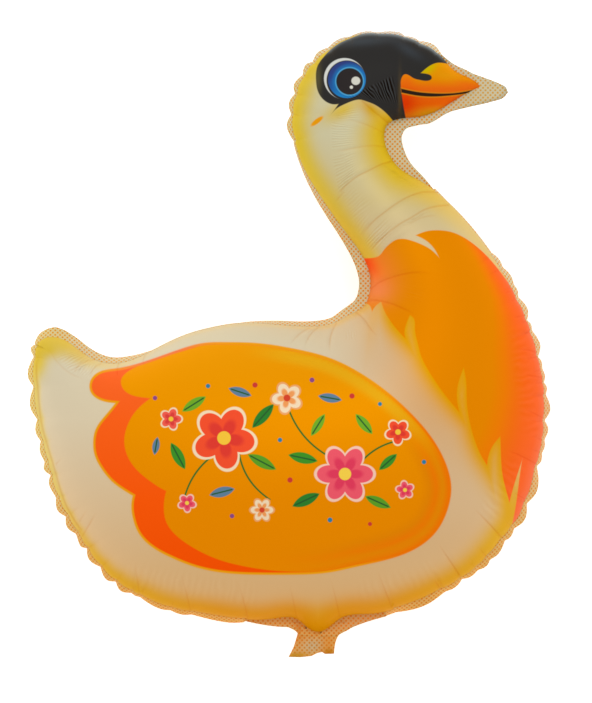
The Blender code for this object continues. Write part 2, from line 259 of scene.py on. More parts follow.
# Lengths along both edges where evenly spaced ribs end
def ribEnds(columns):
    pairs = np.array(ribs)
    number = np.arange(len(pairs))
    fine = np.linspace(0, number[-1], 40 * len(pairs))
    onUpper = risingCurve(number, upper.lengthAt(pairs[:, 0]), fine)
    onLower = risingCurve(number, lower.lengthAt(pairs[:, 1]), fine)
    run = np.concatenate(([0], np.cumsum(np.maximum(np.diff(onUpper), np.diff(onLower)))))
    even = np.linspace(0, run[-1], columns + 1)
    return np.interp(even, run, onUpper), np.interp(even, run, onLower)


# Flat points of rib i and share s: the straight mix of its two ends, s = (1 - cos a) / 2
def flatGrid(columns, rows):
    onUpper, onLower = ribEnds(columns)
    share = (1 - np.cos(np.linspace(0, np.pi, rows + 1)))[None, :, None] / 2
    return lower.pointsAt(onLower)[:, None] * (1 - share) + upper.pointsAt(onUpper)[:, None] * share


# Height of a blown-up film: the sag f under an even load solves "second derivatives sum to
# -1" over the grid's triangles, with its rim fixed, and the height is the root of 2 f
def filmHeight(flat):
    columns, rows = flat.shape[0] - 1, flat.shape[1] - 1
    index = np.arange((columns + 1) * (rows + 1)).reshape(columns + 1, rows + 1)
    a, b = index[:-1, :-1].ravel(), index[1:, :-1].ravel()
    c, d = index[1:, 1:].ravel(), index[:-1, 1:].ravel()
    triangles = np.concatenate((np.stack((a, b, c), 1), np.stack((a, c, d), 1)))
    corners = flat.reshape(-1, 2)[triangles]
    side = corners[:, (2, 0, 1)] - corners[:, (1, 2, 0)]
    area = np.abs(side[:, 0, 0] * side[:, 1, 1] - side[:, 0, 1] * side[:, 1, 0]) / 2
    real = area > 1e-12
    triangles, side, area = triangles[real], side[real], area[real]
    stiffness = np.zeros((index.size, index.size))
    load = np.zeros(index.size)
    for p in range(3):
        np.add.at(load, triangles[:, p], area / 3)
        for q in range(3):
            pull = (side[:, p] * side[:, q]).sum(axis=1) / (4 * area)
            np.add.at(stiffness, (triangles[:, p], triangles[:, q]), pull)
    inner = index[1:-1, 1:-1].ravel()
    twiceSag = np.zeros(index.size)
    twiceSag[inner] = np.linalg.solve(stiffness[np.ix_(inner, inner)], 2 * load[inner])
    return np.sqrt(np.maximum(twiceSag, 0)).reshape(index.shape)


solved = envelope["fullness"] * filmHeight(
    flatGrid(envelope["solverColumns"], envelope["solverRows"]))
print("film solved, highest", round(float(solved.max()), 4))


# Smooth film as a surface of two parameters, column and angle: the flat point and the solved
# height, both splined from the solver's coarse grid
def smoothFilm(columns, rows):
    flat = flatGrid(columns, rows)
    toColumns = splineMatrix(np.arange(envelope["solverColumns"] + 1.0),
                             np.linspace(0, envelope["solverColumns"], columns + 1))
    toRows = splineMatrix(np.linspace(0, 1, envelope["solverRows"] + 1),
                          np.linspace(0, 1, rows + 1))
    height = np.maximum(toColumns @ solved @ toRows.T, 0)
    height[:, 0] = height[:, -1] = 0
    height[0] = height[-1] = 0
    return np.concatenate((flat, height[:, :, None]), axis=2)


# Unit normals of a grid surface: the cross product of its two parameters' steps
def gridNormals(grid):
    along = np.gradient(grid, axis=0)
    across = np.gradient(grid, axis=1)
    normal = np.cross(along, across)
    normal /= np.maximum(np.linalg.norm(normal, axis=2, keepdims=True), 1e-12)
    return normal


# The seam as a ring: over the upper edge to the beak, and back by the lower edge
def seamRing(columns):
    onUpper, onLower = ribEnds(columns)

    def around(alongUpper, alongLower):
        return np.concatenate((alongUpper[:-1], alongLower[:0:-1]))

    share, number, puckered = [
        around(*both) for both in zip(upper.borderAt(onUpper), lower.borderAt(onLower))]
    return {
        "flat": around(upper.pointsAt(onUpper), lower.pointsAt(onLower)),
        "share": share,
        "number": number,
        "puckered": puckered,
        "onLower": around(np.full(len(onUpper), -1.0), onLower),
        "onUpper": around(onUpper, np.full(len(onLower), -1.0)),
    }


# Directions out of the seam, evened out over some millimetres so that they fan at points
def outward(flat):
    ahead, behind = np.roll(flat, -1, axis=0), np.roll(flat, 1, axis=0)
    place = np.concatenate(([0], np.cumsum(np.linalg.norm(ahead - flat, axis=1))))
    along = ahead - behind
    out = np.stack((-along[:, 1], along[:, 0]), axis=1)
    out /= np.linalg.norm(out, axis=1, keepdims=True)
    apart = np.abs(place[:-1, None] - place[None, :-1])
    apart = np.minimum(apart, place[-1] - apart)
    out = (np.maximum(1 - apart / envelope["fanReach"], 0) + np.eye(len(flat))) @ out
    return out / np.linalg.norm(out, axis=1, keepdims=True)


seam = seamRing(envelope["columns"])

atOnce = 4000  # places worked out at a time, which bounds the memory


# For each flat point, its distance to the seam and the number of the nearest seam point
def nearestSeam(flat):
    points = flat.reshape(-1, 2).astype(np.float32)
    ring = seam["flat"].astype(np.float32)
    distance = np.empty(len(points), np.float32)
    nearest = np.empty(len(points), int)
    for start in range(0, len(points), atOnce):
        part = points[start : start + atOnce]
        square = (part**2).sum(1)[:, None] + (ring**2).sum(1)[None] - 2 * part @ ring.T
        at = square.argmin(axis=1)
        nearest[start : start + atOnce] = at
        distance[start : start + atOnce] = np.sqrt(np.maximum(square[np.arange(len(at)), at], 0))
    return distance.reshape(flat.shape[:2]).astype(float), nearest.reshape(flat.shape[:2])


# Smooth curve through listed photo pixels, a point every pixel or so
def smoothPath(points, step=1.0, closed=False):
    points = np.array(points, float)
    if closed:
        points = np.concatenate((points[-3:], points, points[:4]))
    knots = chordKnots(points)
    first, last = (knots[3], knots[-4]) if closed else (knots[0], knots[-1])
    count = max(int((last - first) / step), 2)
    return splineMatrix(knots, np.linspace(first, last, count + 1)) @ points


# Distance from places to a sampled path, positive on its right hand, and how far along the
# path the nearest point is
def pathDistance(places, path):
    start, step = path[:-1], np.diff(path, axis=0)
    length = np.linalg.norm(step, axis=1)
    run = np.concatenate(([0], np.cumsum(length)))
    distance = np.full(len(places), np.inf)
    along = np.zeros(len(places))
    for first in range(0, len(places), atOnce):
        part = places[first : first + atOnce]
        offset = part[:, None] - start[None]
        t = np.clip((offset * step).sum(2) / (length**2), 0, 1)
        gap = np.linalg.norm(offset - t[:, :, None] * step, axis=2)
        at = gap.argmin(axis=1)
        rows = np.arange(len(part))
        side = step[at, 0] * offset[rows, at, 1] - step[at, 1] * offset[rows, at, 0]
        distance[first : first + atOnce] = gap[rows, at] * np.where(side < 0, -1, 1)
        along[first : first + atOnce] = (run[at] + t[rows, at] * length[at]) / run[-1]
    return distance, along


# Numbers of the places that lie in a box
def within(places, low, high):
    return np.where(((places > low) & (places < high)).all(axis=1))[0]


# Share of a crease's depth at each share of its length: fading in and out at its two ends
def creaseEnds(along, fadeIn, fadeOut):
    return fade(along, 0, max(fadeIn, 1e-3)) * (1 - fade(along, 1 - fadeOut, 1))


# A groove along a path: depth * exp(-(distance / width)^2), with a low ridge on both sides
def groove(places, path, width, depth, fadeIn, fadeOut):
    result = np.zeros(len(places))
    near = within(places, path.min(axis=0) - 4 * width, path.max(axis=0) + 4 * width)
    distance, along = pathDistance(places[near], path)
    ratio = np.abs(distance) / width
    height, place, wide = creaseLook["ridge"]
    profile = np.exp(-ratio**2) - height * np.exp(-((ratio - place) / wide) ** 2)
    result[near] = depth * profile * creaseEnds(along, fadeIn, fadeOut)
    return result


# Creases pressed into the front foil: photo pixels from the sharp end on, width in pixels,
# depth in millimetres, and the shares of its length over which it fades in and out
creases = (
    # neck and throat
    (((361, 100), (375, 112.5), (390, 124.5)), 2.0, 1.1, 0.05, 0.05),
    (((387, 134), (370, 126.3), (355, 121.3), (342, 119.4)), 1.8, 0.6, 0.0, 0.5),
    (((387, 146.5), (372.5, 145.6), (357.5, 147.5), (345, 150), (331, 152.5)), 2.0, 0.7, 0.0, 0.3),
    (((393, 161), (382.5, 163.8), (370, 170), (357.5, 176.3), (345, 186.3), (336, 197.5)),
     2.2, 1.3, 0.0, 0.2),
    (((352, 184.5), (343, 193), (334.5, 203)), 1.6, 0.7, 0.3, 0.3),
    (((437, 192.5), (425, 191.9), (412.5, 195), (400, 201.3), (387.5, 210), (376.3, 218.8),
      (367.5, 227.5), (360, 238.8)), 2.2, 1.3, 0.0, 0.2),
    (((449, 205), (436.3, 206.3), (423.8, 210), (411.3, 217.5), (400, 223.8), (387.5, 233.8),
      (376.3, 243.8), (368.8, 253.8)), 2.2, 1.3, 0.0, 0.2),
    (((438.8, 215.6), (426.3, 216.3), (413.8, 221.3), (405, 227)), 1.6, 0.7, 0.3, 0.3),
    # crook of the neck and back
    (((371.3, 288.8), (377.5, 283.8), (390, 278.1), (402.5, 274.4), (416.3, 272.3),
      (434, 272.8)), 2.0, 1.2, 0.0, 0.4),
    (((365, 301.3), (372.5, 300.3), (382.5, 301.3), (395, 305), (405, 309.4), (416, 314.5)),
     2.0, 1.2, 0.0, 0.3),
    (((356.3, 312.5), (362.5, 317.5), (370, 327.5), (378, 338)), 2.0, 1.0, 0.0, 0.4),
    (((336.3, 323.1), (331.9, 332.5), (330, 341.3), (329.8, 352.5)), 2.2, 1.0, 0.0, 0.4),
    (((318.8, 326.9), (311.3, 333.8), (304, 348)), 2.0, 0.9, 0.0, 0.5),
    (((310, 327.5), (300, 333.8), (289, 346)), 2.0, 0.9, 0.0, 0.5),
    # tail
    (((95, 359.5), (81.4, 363.6), (72.3, 374.5)), 1.8, 0.8, 0.1, 0.3),
    (((102.3, 363.6), (96, 366.4), (89.5, 378)), 1.8, 0.8, 0.1, 0.3),
    (((47.7, 348.2), (60.5, 365.5), (72.3, 374.5), (87.7, 380)), 1.8, 0.5, 0.3, 0.3),
    (((119, 363), (117.3, 369), (118, 379)), 1.6, 0.9, 0.0, 0.4),
    (((147, 353), (143.4, 359), (143, 366)), 1.6, 0.7, 0.0, 0.4),
    (((37.5, 352), (36.5, 372), (38.5, 395), (41, 420), (45, 437), (52.8, 463), (58.3, 482),
      (66.2, 505), (75.8, 522), (87, 537)), 2.0, 1.2, 0.1, 0.1),
    # belly
    (((140, 597), (134, 558)), 2.2, 0.7, 0.0, 0.6), (((191, 612), (181, 572)), 2.4, 0.7, 0.0, 0.6),
    (((248, 618), (238, 580)), 2.4, 0.7, 0.0, 0.6), (((297, 618), (289, 580)), 2.4, 0.6, 0.0, 0.6),
    (((340, 617), (330, 575)), 2.4, 0.7, 0.0, 0.6), (((392, 608), (376, 567)), 2.6, 0.9, 0.0, 0.6),
    (((441, 590), (433, 578)), 2.0, 1.0, 0.0, 0.6), (((460, 576), (436, 540)), 2.6, 1.2, 0.0, 0.6),
    (((48, 472), (63, 457)), 1.8, 0.8, 0.0, 0.5), (((82, 537), (97, 511)), 2.0, 0.9, 0.0, 0.5),
    (((74, 530), (88, 508)), 1.8, 0.6, 0.0, 0.5),
    # breast
    (((502, 538), (488.8, 523.5), (472.7, 507.4)), 2.4, 1.3, 0.0, 0.5),
    (((527, 500.5), (516.7, 494.2), (510, 490)), 1.8, 0.9, 0.0, 0.5),
    (((536, 464), (521.1, 456.1), (503.5, 448.8)), 2.2, 1.1, 0.0, 0.5),
    (((544, 418.5), (522.6, 407.7)), 2.0, 1.0, 0.0, 0.5),
    (((543, 378), (522.6, 374)), 2.0, 1.0, 0.0, 0.5),
    (((537, 353), (527, 349.8), (516, 349)), 2.0, 1.0, 0.0, 0.5),
    (((513, 290.5), (503, 294)), 1.8, 0.8, 0.0, 0.5),
    (((524, 315.5), (512, 318)), 1.8, 0.8, 0.0, 0.5),
    # mask
    (((397.5, 78), (399, 92), (399.5, 108), (399, 118)), 1.8, 0.9, 0.2, 0.1),
    (((350.5, 37), (353, 43)), 1.6, 1.0, 0.0, 0.5), (((377, 34), (377.5, 40)), 1.6, 1.0, 0.0, 0.5),
    (((415.3, 41), (412, 48)), 1.6, 1.0, 0.0, 0.5),
)

# Fans of fine parallel wrinkles: the first wrinkle's two ends, the last one's two ends, how
# many, how strong, and the shares of their length over which they fade in and out
wrinkleFans = (
    ((331, 121), (360, 126), (331, 151), (360, 146), 11, 0.9, 0.06, 0.6),
    ((331, 155), (357, 150), (338, 194), (362, 173), 12, 1.0, 0.08, 0.5),
    ((341, 196), (354, 184), (352, 224), (380, 200), 9, 0.5, 0.2, 0.5),
    ((381, 164), (394, 169), (412, 188), (427, 192), 13, 0.8, 0.1, 0.5),
    ((362, 242), (389, 212), (372, 254), (402, 224), 6, 1.0, 0.15, 0.5),
    ((352, 226), (368, 206), (361, 240), (378, 217), 5, 0.4, 0.2, 0.5),
    ((334, 113), (362, 103), (334, 121), (366, 121), 6, 0.7, 0.1, 0.4),
    ((373, 255), (405, 227), (379, 256.5), (424, 219), 4, 0.7, 0.15, 0.5),
    ((357, 92), (371, 100), (393, 74), (400, 107), 12, 2.3, 0.12, 0.35),
    ((341, 95), (349, 101), (356, 92), (364, 98), 5, 1.1, 0.4, 0.5),
    ((74, 350), (53, 357), (95, 359.5), (72, 375), 8, 0.9, 0.35, 0.2),
    ((84, 362), (74, 376), (101, 364), (90, 379), 6, 0.6, 0.2, 0.3),
    ((392, 280), (432, 290), (398, 297), (432, 306), 6, 0.25, 0.4, 0.4),
    ((344, 329), (345, 340), (357, 330), (358, 341), 5, 0.5, 0.3, 0.3),
    # belly, breast and the patch's right side
    ((128, 556), (118, 588), (262, 578), (258, 610), 20, 0.25, 0.5, 0.2),
    ((350, 578), (356, 606), (434, 554), (452, 582), 12, 0.22, 0.5, 0.2),
    ((472, 505), (494, 528), (505, 452), (530, 468), 9, 0.4, 0.5, 0.2),
    ((505, 330), (526, 322), (518, 440), (542, 440), 15, 0.35, 0.5, 0.2),
)

# The small creases at the puckers: length in pixels, turn in degrees, and depth in millimetres
# with the range of its share
puckerCrease = {"length": (8, 17), "turn": 12, "width": 1.8, "depth": 0.7, "depths": (0.6, 1.1)}

# The mesh has the "pressed" share of a crease's depth. The rest is the material's: half width
# in pixels, painted shade that darkens the ink and bump in millimetres of the creases and of the
# fine wrinkles, a painted highlight on the wrinkles' crests that shows on the dark mask, and how
# far the wrinkles stray.
creaseLook = {
    "pressed": 0.4, "fromSeam": 0.008,
    "line": 0.9, "reach": (2.2, 3.8), "dark": 0.14, "deep": 0.18,
    "waveShade": 0.08, "waveDeep": 0.2, "waveHighlight": 0.012,
    "strayAlong": 1.6, "strayAcross": 0.45, "stray": 1.1,
    "ridge": (0.35, 1.8, 0.9),  # beside a groove: its height, place and width against the groove's
    "strayDepth": (0.3, 0.7, 0.45, 1.0),  # the noise's range, and the wrinkles' depth over it
    "tint": (0.3, 1.0, 1.6),  # how much red, green and blue darken, so a shade is warm
}


# A short crease in from every pucker of the seam, drawn from a fixed seed
def puckerCreases():
    draw = np.random.default_rng(7)
    found = []
    out = outward(seam["flat"])
    number = seam["number"]
    for k in np.where((number > 0) & (np.abs(number - np.round(number)) < 0.5))[0]:
        before, after = number[k - 1], number[(k + 1) % len(number)]
        gap = abs(number[k] - round(number[k]))
        if gap > abs(before - round(before)) or gap >= abs(after - round(after)):
            continue
        start = flatPixels(seam["flat"][k])
        length = draw.uniform(*puckerCrease["length"])
        inward = -out[k] * (1, -1)
        turn = np.radians(draw.uniform(-puckerCrease["turn"], puckerCrease["turn"]))
        inward = np.array((inward[0] * np.cos(turn) - inward[1] * np.sin(turn),
                           inward[0] * np.sin(turn) + inward[1] * np.cos(turn)))
        depth = puckerCrease["depth"] * draw.uniform(*puckerCrease["depths"])
        found.append(((tuple(start - inward), tuple(start + inward * length)),
                      puckerCrease["width"], depth, 0.0, 0.8))
    return tuple(found)


creases += puckerCreases()


# For the material: signed distance to the nearest crease, and its strength. The vector's last
# part is spare.
def creasePlaces(places):
    around = 4
    result = np.zeros((len(places), 3))
    for points, width, depth, fadeIn, fadeOut in creases:
        path = smoothPath(points)
        near = within(places, path.min(axis=0) - around, path.max(axis=0) + around)
        distance, along = pathDistance(places[near], path)
        weight = depth * creaseEnds(along, fadeIn, fadeOut)
        weight *= 1 - fade(np.abs(distance), *creaseLook["reach"])
        better = weight > result[near, 1]
        result[near[better], 0] = distance[better]
        result[near[better], 1] = weight[better]
    return result


# For the material: place along and across the nearest wrinkle fan, and its strength. A place
# is found in the fan's four-cornered patch by Newton steps on its bilinear formula.
def fanPlaces(places):
    around = 12
    result = np.zeros((len(places), 3))
    outside = np.full(len(places), float(around))
    for number, fan in enumerate(wrinkleFans):
        a, b, c, d = [np.array(corner, float) for corner in fan[:4]]
        count, strength, fadeIn, fadeOut = fan[4:]
        near = within(places, np.min((a, b, c, d), axis=0) - around,
                      np.max((a, b, c, d), axis=0) + around)
        s, t = np.full(len(near), 0.5), np.full(len(near), 0.5)
        for _ in range(8):
            first, last = a + s[:, None] * (b - a), c + s[:, None] * (d - c)
            gap = first * (1 - t)[:, None] + last * t[:, None] - places[near]
            ds = (b - a) * (1 - t)[:, None] + (d - c) * t[:, None]
            dt = last - first
            det = ds[:, 0] * dt[:, 1] - ds[:, 1] * dt[:, 0]
            det = np.where(np.abs(det) < 1e-6, 1e-6, det)
            s = np.clip(s - (gap[:, 0] * dt[:, 1] - gap[:, 1] * dt[:, 0]) / det, -1, 2)
            t = np.clip(t - (ds[:, 0] * gap[:, 1] - ds[:, 1] * gap[:, 0]) / det, -1, 2)
        beyond = (np.maximum(np.abs(s - 0.5) - 0.5, 0) * np.linalg.norm(b - a)
                  + np.maximum(np.abs(t - 0.5) - 0.5, 0) * np.linalg.norm(c - a))
        missed = np.linalg.norm(gap, axis=1) > 0.5  # the steps found no place
        beyond += 100 * missed
        weight = strength * (1 - missed) * fade(s, 0, fadeIn) * (1 - fade(s, 1 - fadeOut, 1))
        weight *= fade(t, -0.02, 0.1) * (1 - fade(t, 0.9, 1.02))  # weaker at the outer wrinkles
        better = (beyond < outside[near]) | (weight > result[near, 2])
        outside[near[better]] = beyond[better]
        values = np.stack((s, t * count + 3 * number, weight), axis=1)
        result[near[better]] = values[better]
    return result


layerKinds = {3: ("FLOAT_VECTOR", "vector"), 4: ("FLOAT_COLOR", "color")}


# An object from points and faces, with the values in layers as point attributes
def makePiece(name, points, faces, layers):
    mesh = bpy.data.meshes.new(name)
    mesh.from_pydata(points.tolist(), [], faces)
    mesh.shade_smooth()
    for layer, values in layers.items():
        kind, field = layerKinds[values.shape[1]]
        attribute = mesh.attributes.new(layer, kind, "POINT")
        attribute.data.foreach_set(field, values.astype(np.float32).ravel())
    piece = bpy.data.objects.new(name, mesh)
    bpy.context.scene.collection.objects.link(piece)
    return piece


# A face from its grid: quads that face outwards, with the first and the last column closed to
# one point each. The flat film, fitted to the unit square, is its UV map.
def filmPiece(name, grid, flat, layers, turned):
    index = np.arange(grid[..., 0].size).reshape(grid.shape[:2])
    index[0], index[-1] = index[0, 0], index[-1, 0]
    corners = np.stack((index[:-1, :-1], index[1:, :-1], index[1:, 1:], index[:-1, 1:]), axis=2)
    if turned:
        corners = corners[:, :, ::-1]
    used = np.zeros(index.size, bool)
    used[index] = True
    corners = (np.cumsum(used) - 1)[corners]
    faces = corners[1:-1].reshape(-1, 4).tolist()
    faces += [list(dict.fromkeys(face)) for face in corners[0].tolist() + corners[-1].tolist()]
    layers = {layer: values[used] for layer, values in layers.items()}
    piece = makePiece(name, grid.reshape(-1, 3)[used], faces, layers)
    margin = envelope["chartMargin"]
    square = (flat - flat.min(axis=(0, 1))) / np.ptp(flat, axis=(0, 1)) * (1 - 2 * margin) + margin
    corner = np.empty(len(piece.data.loops), np.int32)
    piece.data.loops.foreach_get("vertex_index", corner)
    chart = piece.data.uv_layers.new(name="OFBake")
    chart.data.foreach_set("uv", square.reshape(-1, 2)[used][corner].astype(np.float32).ravel())
    return piece


# Pressed-in relief of a face: puckers at the seam, whose depth falls off as exp(-distance /
# reach), and on the front the creases
def faceRelief(grid, distance, nearest, front):
    depth = seam["puckered"][nearest] * np.exp(-distance / envelope["puckerReach"])
    start = fade(distance, 0, envelope["puckerStart"])
    depth *= envelope["notchDepth"] + envelope["puckerDepth"] * start
    if front:
        places = pixelsSeen(grid + toFrame).reshape(-1, 2)
        total = np.zeros(len(places))
        for points, width, deep, fadeIn, fadeOut in creases:
            deep = deep * creaseLook["pressed"] / 1000
            total += groove(places, smoothPath(points), width, deep, fadeIn, fadeOut)
        depth += total.reshape(distance.shape) * fade(distance, 0, creaseLook["fromSeam"])
    return depth


# A face's grid in the frame, side 1 for the front and -1 for the back, with its flat film and
# each point's distance to the seam and nearest seam point
def makeFace(columns, rows, side):
    grid = smoothFilm(columns, rows)
    flat = grid[:, :, :2].copy()
    distance, nearest = nearestSeam(flat)
    grid = grid - gridNormals(grid) * faceRelief(grid, distance, nearest, side > 0)[:, :, None]
    grid[:, :, 2] *= side
    grid += toFrame
    if side < 0:
        grid[:, :, 2] = np.maximum(grid[:, :, 2], 0)  # it rests on the floor on a flat spot
    return grid, flat, distance, nearest


# Where the print's shapes lie, in photo pixels. A shape is the side on the right hand of
# whoever walks along its line.
printLines = {
    "flames": {
        "box": (352, 222, 560, 535),
        "patchTop": ((415.6, 235.3), (425.2, 231.5), (437.9, 230.2), (451.9, 232.1),
                     (464.7, 237.9), (476.2, 246.1), (490.2, 259.5), (501.7, 273.6),
                     (511.9, 287.6)),
        "sliverTop": ((438.5, 256.6), (435.4, 250.6), (430.3, 244.2), (422.6, 238.5),
                      (415.6, 235.3)),
        "sliverLow": ((363.9, 258.3), (374.1, 257.6), (378, 256.4), (384.3, 249.3),
                      (390.7, 243), (395.8, 239.8), (403.5, 238.8), (411.1, 240.4),
                      (421.3, 244.2), (431.5, 250), (438.5, 256.6)),
        "leftOne": ((372, 311.8), (369, 304.8), (364.6, 302.9), (358, 301)),
        "rightOne": ((381.1, 301.6), (374.1, 308), (372, 311.8)),
        "leftTwo": ((405.6, 338.9), (397.1, 329.7), (389.4, 319.5), (383.7, 309.3),
                    (381.1, 301.6)),
        "rightTwo": ((410, 315), (406, 324.6), (404.5, 332.2), (405.6, 338.9)),
        "leftThree": ((459.4, 412.4), (446.8, 397.3), (436.6, 383.3), (427.7, 369.2),
                      (421.3, 356.5), (417.5, 342.4), (414.9, 328.4), (413.7, 318.2),
                      (410, 315)),
        "rightThree": ((463.7, 367.5), (458.3, 383.3), (456.8, 396), (459.4, 412.4)),
        "leftFour": ((487.1, 465.6), (483, 459), (475.6, 442.9), (470.5, 425.3),
                     (466.9, 403.3), (466.1, 381.3), (463.7, 367.5)),
        "rightFour": ((500.3, 436.3), (491.8, 447.3), (488.1, 457.6), (487.1, 465.6)),
        "leftFive": ((509.4, 502.6), (506.4, 491.3), (502.8, 476.6), (500.9, 454.6),
                     (500.3, 436.3)),
        "rightFive": ((521.8, 461.2), (516.7, 476.6), (512.3, 491.3), (509.4, 502.6)),
        "leftSix": ((512.5, 523), (515.2, 508.9), (517.4, 494.2), (519.6, 476.6),
                    (521.8, 461.2)),
    },
    "head": {
        "box": (300, 20, 520, 136),
        "maskLow": ((392.3, 119.9), (387.8, 114.8), (381.6, 109.2), (373.5, 104.1),
                    (365.3, 101), (361.2, 99.8), (351, 101.5), (344.9, 104.1),
                    (335.2, 109.7), (333.2, 111.7)),
        "maskRim": ((338.3, 104.1), (333.7, 104.4), (326.5, 102), (321.4, 97.5),
                    (317.5, 90.3), (316, 80), (317.5, 66), (320.9, 60.2)),
        "maskHook": ((333.2, 111.7), (338.3, 104.1)),
        "maskTop": ((320.9, 60.2), (330.6, 49.5), (340.8, 42.3), (350, 38.3)),
        "beakLow": ((407.5, 128), (405.6, 117.3), (403.6, 106.6), (402, 96.4), (401, 88.3),
                    (402.6, 76), (404.1, 74.5), (407.1, 74.5), (413.3, 78.1), (420.4, 80.1),
                    (428.6, 80.6), (431.8, 78.5), (431.6, 76.5), (427.6, 74), (420.9, 73),
                    (414, 71), (409, 66)),
        "beakTop": ((386, 76), (398, 73.5), (406.5, 73), (411.5, 75), (416.5, 75.8),
                    (420.9, 73), (425.5, 68.9), (431.6, 64.8), (437.8, 62.8), (445.4, 63.3)),
        "mouthTop": ((401.9, 88.7), (415.7, 91.6), (433.6, 93.3), (455.9, 92.9),
                     (469.3, 90.9), (480, 88.9)),
        "mouthLow": ((480, 89.6), (464.8, 93.6), (451.4, 95.4), (433.6, 96.6),
                     (415.7, 95.4), (401.9, 92.7)),
    },
    "wing": {
        "box": (78, 330, 470, 590),
        "outerMain": ((89.3, 385.4), (92.2, 377.3), (99.5, 371.6), (115.8, 368.3),
                      (143.4, 361.8), (164.6, 354.5), (185.7, 347.2), (202, 343.1),
                      (226.4, 342), (258.9, 343.1), (291.4, 348), (333, 359), (360, 372.6),
                      (388.6, 392.7), (411.6, 413.7), (432.6, 438.6), (446, 463.5),
                      (451.4, 488), (448, 508.7), (436.4, 531.7), (415.4, 549), (392, 558.4),
                      (356, 567), (330, 572.5), (291.4, 574.9), (258.9, 574.9),
                      (226.4, 573.3), (193.9, 566.8), (171.1, 557.8), (153.2, 548.1),
                      (138.6, 533.4), (132.9, 518.8), (131.2, 505.8), (134.5, 490),
                      (143, 470), (146, 440), (140, 415), (128, 405.4), (112.5, 403),
                      (97.9, 399.2), (91.4, 393.6)),
        "outerLobe": ((115, 403.3), (104.4, 416.3), (95.5, 429.3), (93, 442.4), (94.6, 455.4),
                      (101.1, 468.4), (112.5, 482.2), (128.8, 493.6), (150, 502),
                      (172, 490), (185, 450), (178, 400), (150, 385), (126, 390)),
        "innerMain": ((214, 340.5), (195, 347.3), (170, 355), (150, 361.5), (129.5, 370.5),
                      (121, 380.5), (123.1, 388.7), (132, 395.2), (150.3, 398.4),
                      (168, 406), (179, 430), (179, 465), (168, 486), (163.8, 505.8),
                      (166.2, 522), (177.6, 536.7),
                      (193.9, 548.1), (218.3, 559.5), (242.7, 566), (275.2, 570.8),
                      (350, 573), (430, 580), (490, 560), (500, 450), (420, 345),
                      (300, 322), (240, 331)),
        "innerLobe": ((150.3, 398.4), (136.9, 409.8), (127.2, 426.1), (124.2, 440.7),
                      (127.2, 455.4), (136.9, 470), (151.6, 482.2), (166.5, 491.1),
                      (192, 494), (215, 450), (200, 400), (172, 388)),
    },
}
closedLines = ("outerMain", "outerLobe", "innerMain", "innerLobe")
leftHanded = ("outerLobe", "innerMain", "innerLobe")  # drawn the other way round
fieldNames = sorted(name for shape in printLines.values() for name in shape if name != "box")
farOutside = -30.0  # a field's value outside its shape's box
straightOn = 260  # pixels that an open line runs on, straight, past both ends


# Signed pixels to a smooth line, positive on its right hand, or on its left where turn is -1
def lineField(places, box, points, closed, turn):
    path = smoothPath(points, closed=closed)
    if not closed:
        ends = []
        for inner, tip in ((path[1], path[0]), (path[-2], path[-1])):
            ends.append(tip + (tip - inner) / np.linalg.norm(tip - inner) * straightOn)
        path = np.concatenate((ends[:1], path, ends[1:]))
    result = np.full(len(places), farOutside)
    near = within(places, box[:2], box[2:])
    result[near] = turn * pathDistance(places[near], path)[0]
    return result


# All fields of the print at the given places
def printFields(places):
    fields = {}
    for shape in printLines.values():
        for name in shape.keys() - {"box"}:
            turn = -1 if name in leftHanded else 1
            fields[name] = lineField(places, shape["box"], shape[name], name in closedLines, turn)
    return fields


# The breast patch with its flames, worked out alike from arrays and from a material's sockets
def patchField(fields, least, most):
    top = least(fields["patchTop"], fields["sliverTop"])
    tongues = [least(fields["left" + which], fields["right" + which])
               for which in ("One", "Two", "Three", "Four", "Five")]
    return least(most(top, fields["sliverLow"]), most(*tongues, fields["leftSix"]))


# The least and the most of some arrays, point by point
def smallest(*fields):
    return np.minimum.reduce(fields)


def largest(*fields):
    return np.maximum.reduce(fields)


# sRGB hex to the linear colour that Blender's sockets take
def linearColour(code):
    parts = [int(code[k : k + 2], 16) / 255 for k in (1, 3, 5)]
    return [p / 12.92 if p <= 0.04045 else ((p + 0.055) / 1.055) ** 2.4 for p in parts] + [1]


# Ink * (1 - weight) + colour * weight. The colour is one hex or a row for each point.
def layOver(ink, colour, weight):
    if isinstance(colour, str):
        colour = np.array(linearColour(colour))
    return ink * (1 - weight[:, None]) + colour * weight[:, None]


# Colours along a list of (value, hex), mixed linearly between its steps
def inkRamp(value, stops):
    at = [stop[0] for stop in stops]
    colours = np.array([linearColour(stop[1]) for stop in stops])
    return np.stack([np.interp(value, at, colours[:, k]) for k in range(4)], axis=1)


# Spots of airbrushed print, and of painted light and shade where a list holds them: (x, y,
# radius along, radius across, turn in degrees, hex, strength)
def spotsOfInkAndLight(ink, places, spots):
    for x, y, along, across, turn, code, strength in spots:
        c, s = np.cos(np.radians(turn)), np.sin(np.radians(turn))
        u = (places[:, 0] - x) * c + (places[:, 1] - y) * s
        v = -(places[:, 0] - x) * s + (places[:, 1] - y) * c
        ink = layOver(ink, code, strength * np.exp(-((u / along) ** 2) - (v / across) ** 2))
    return ink


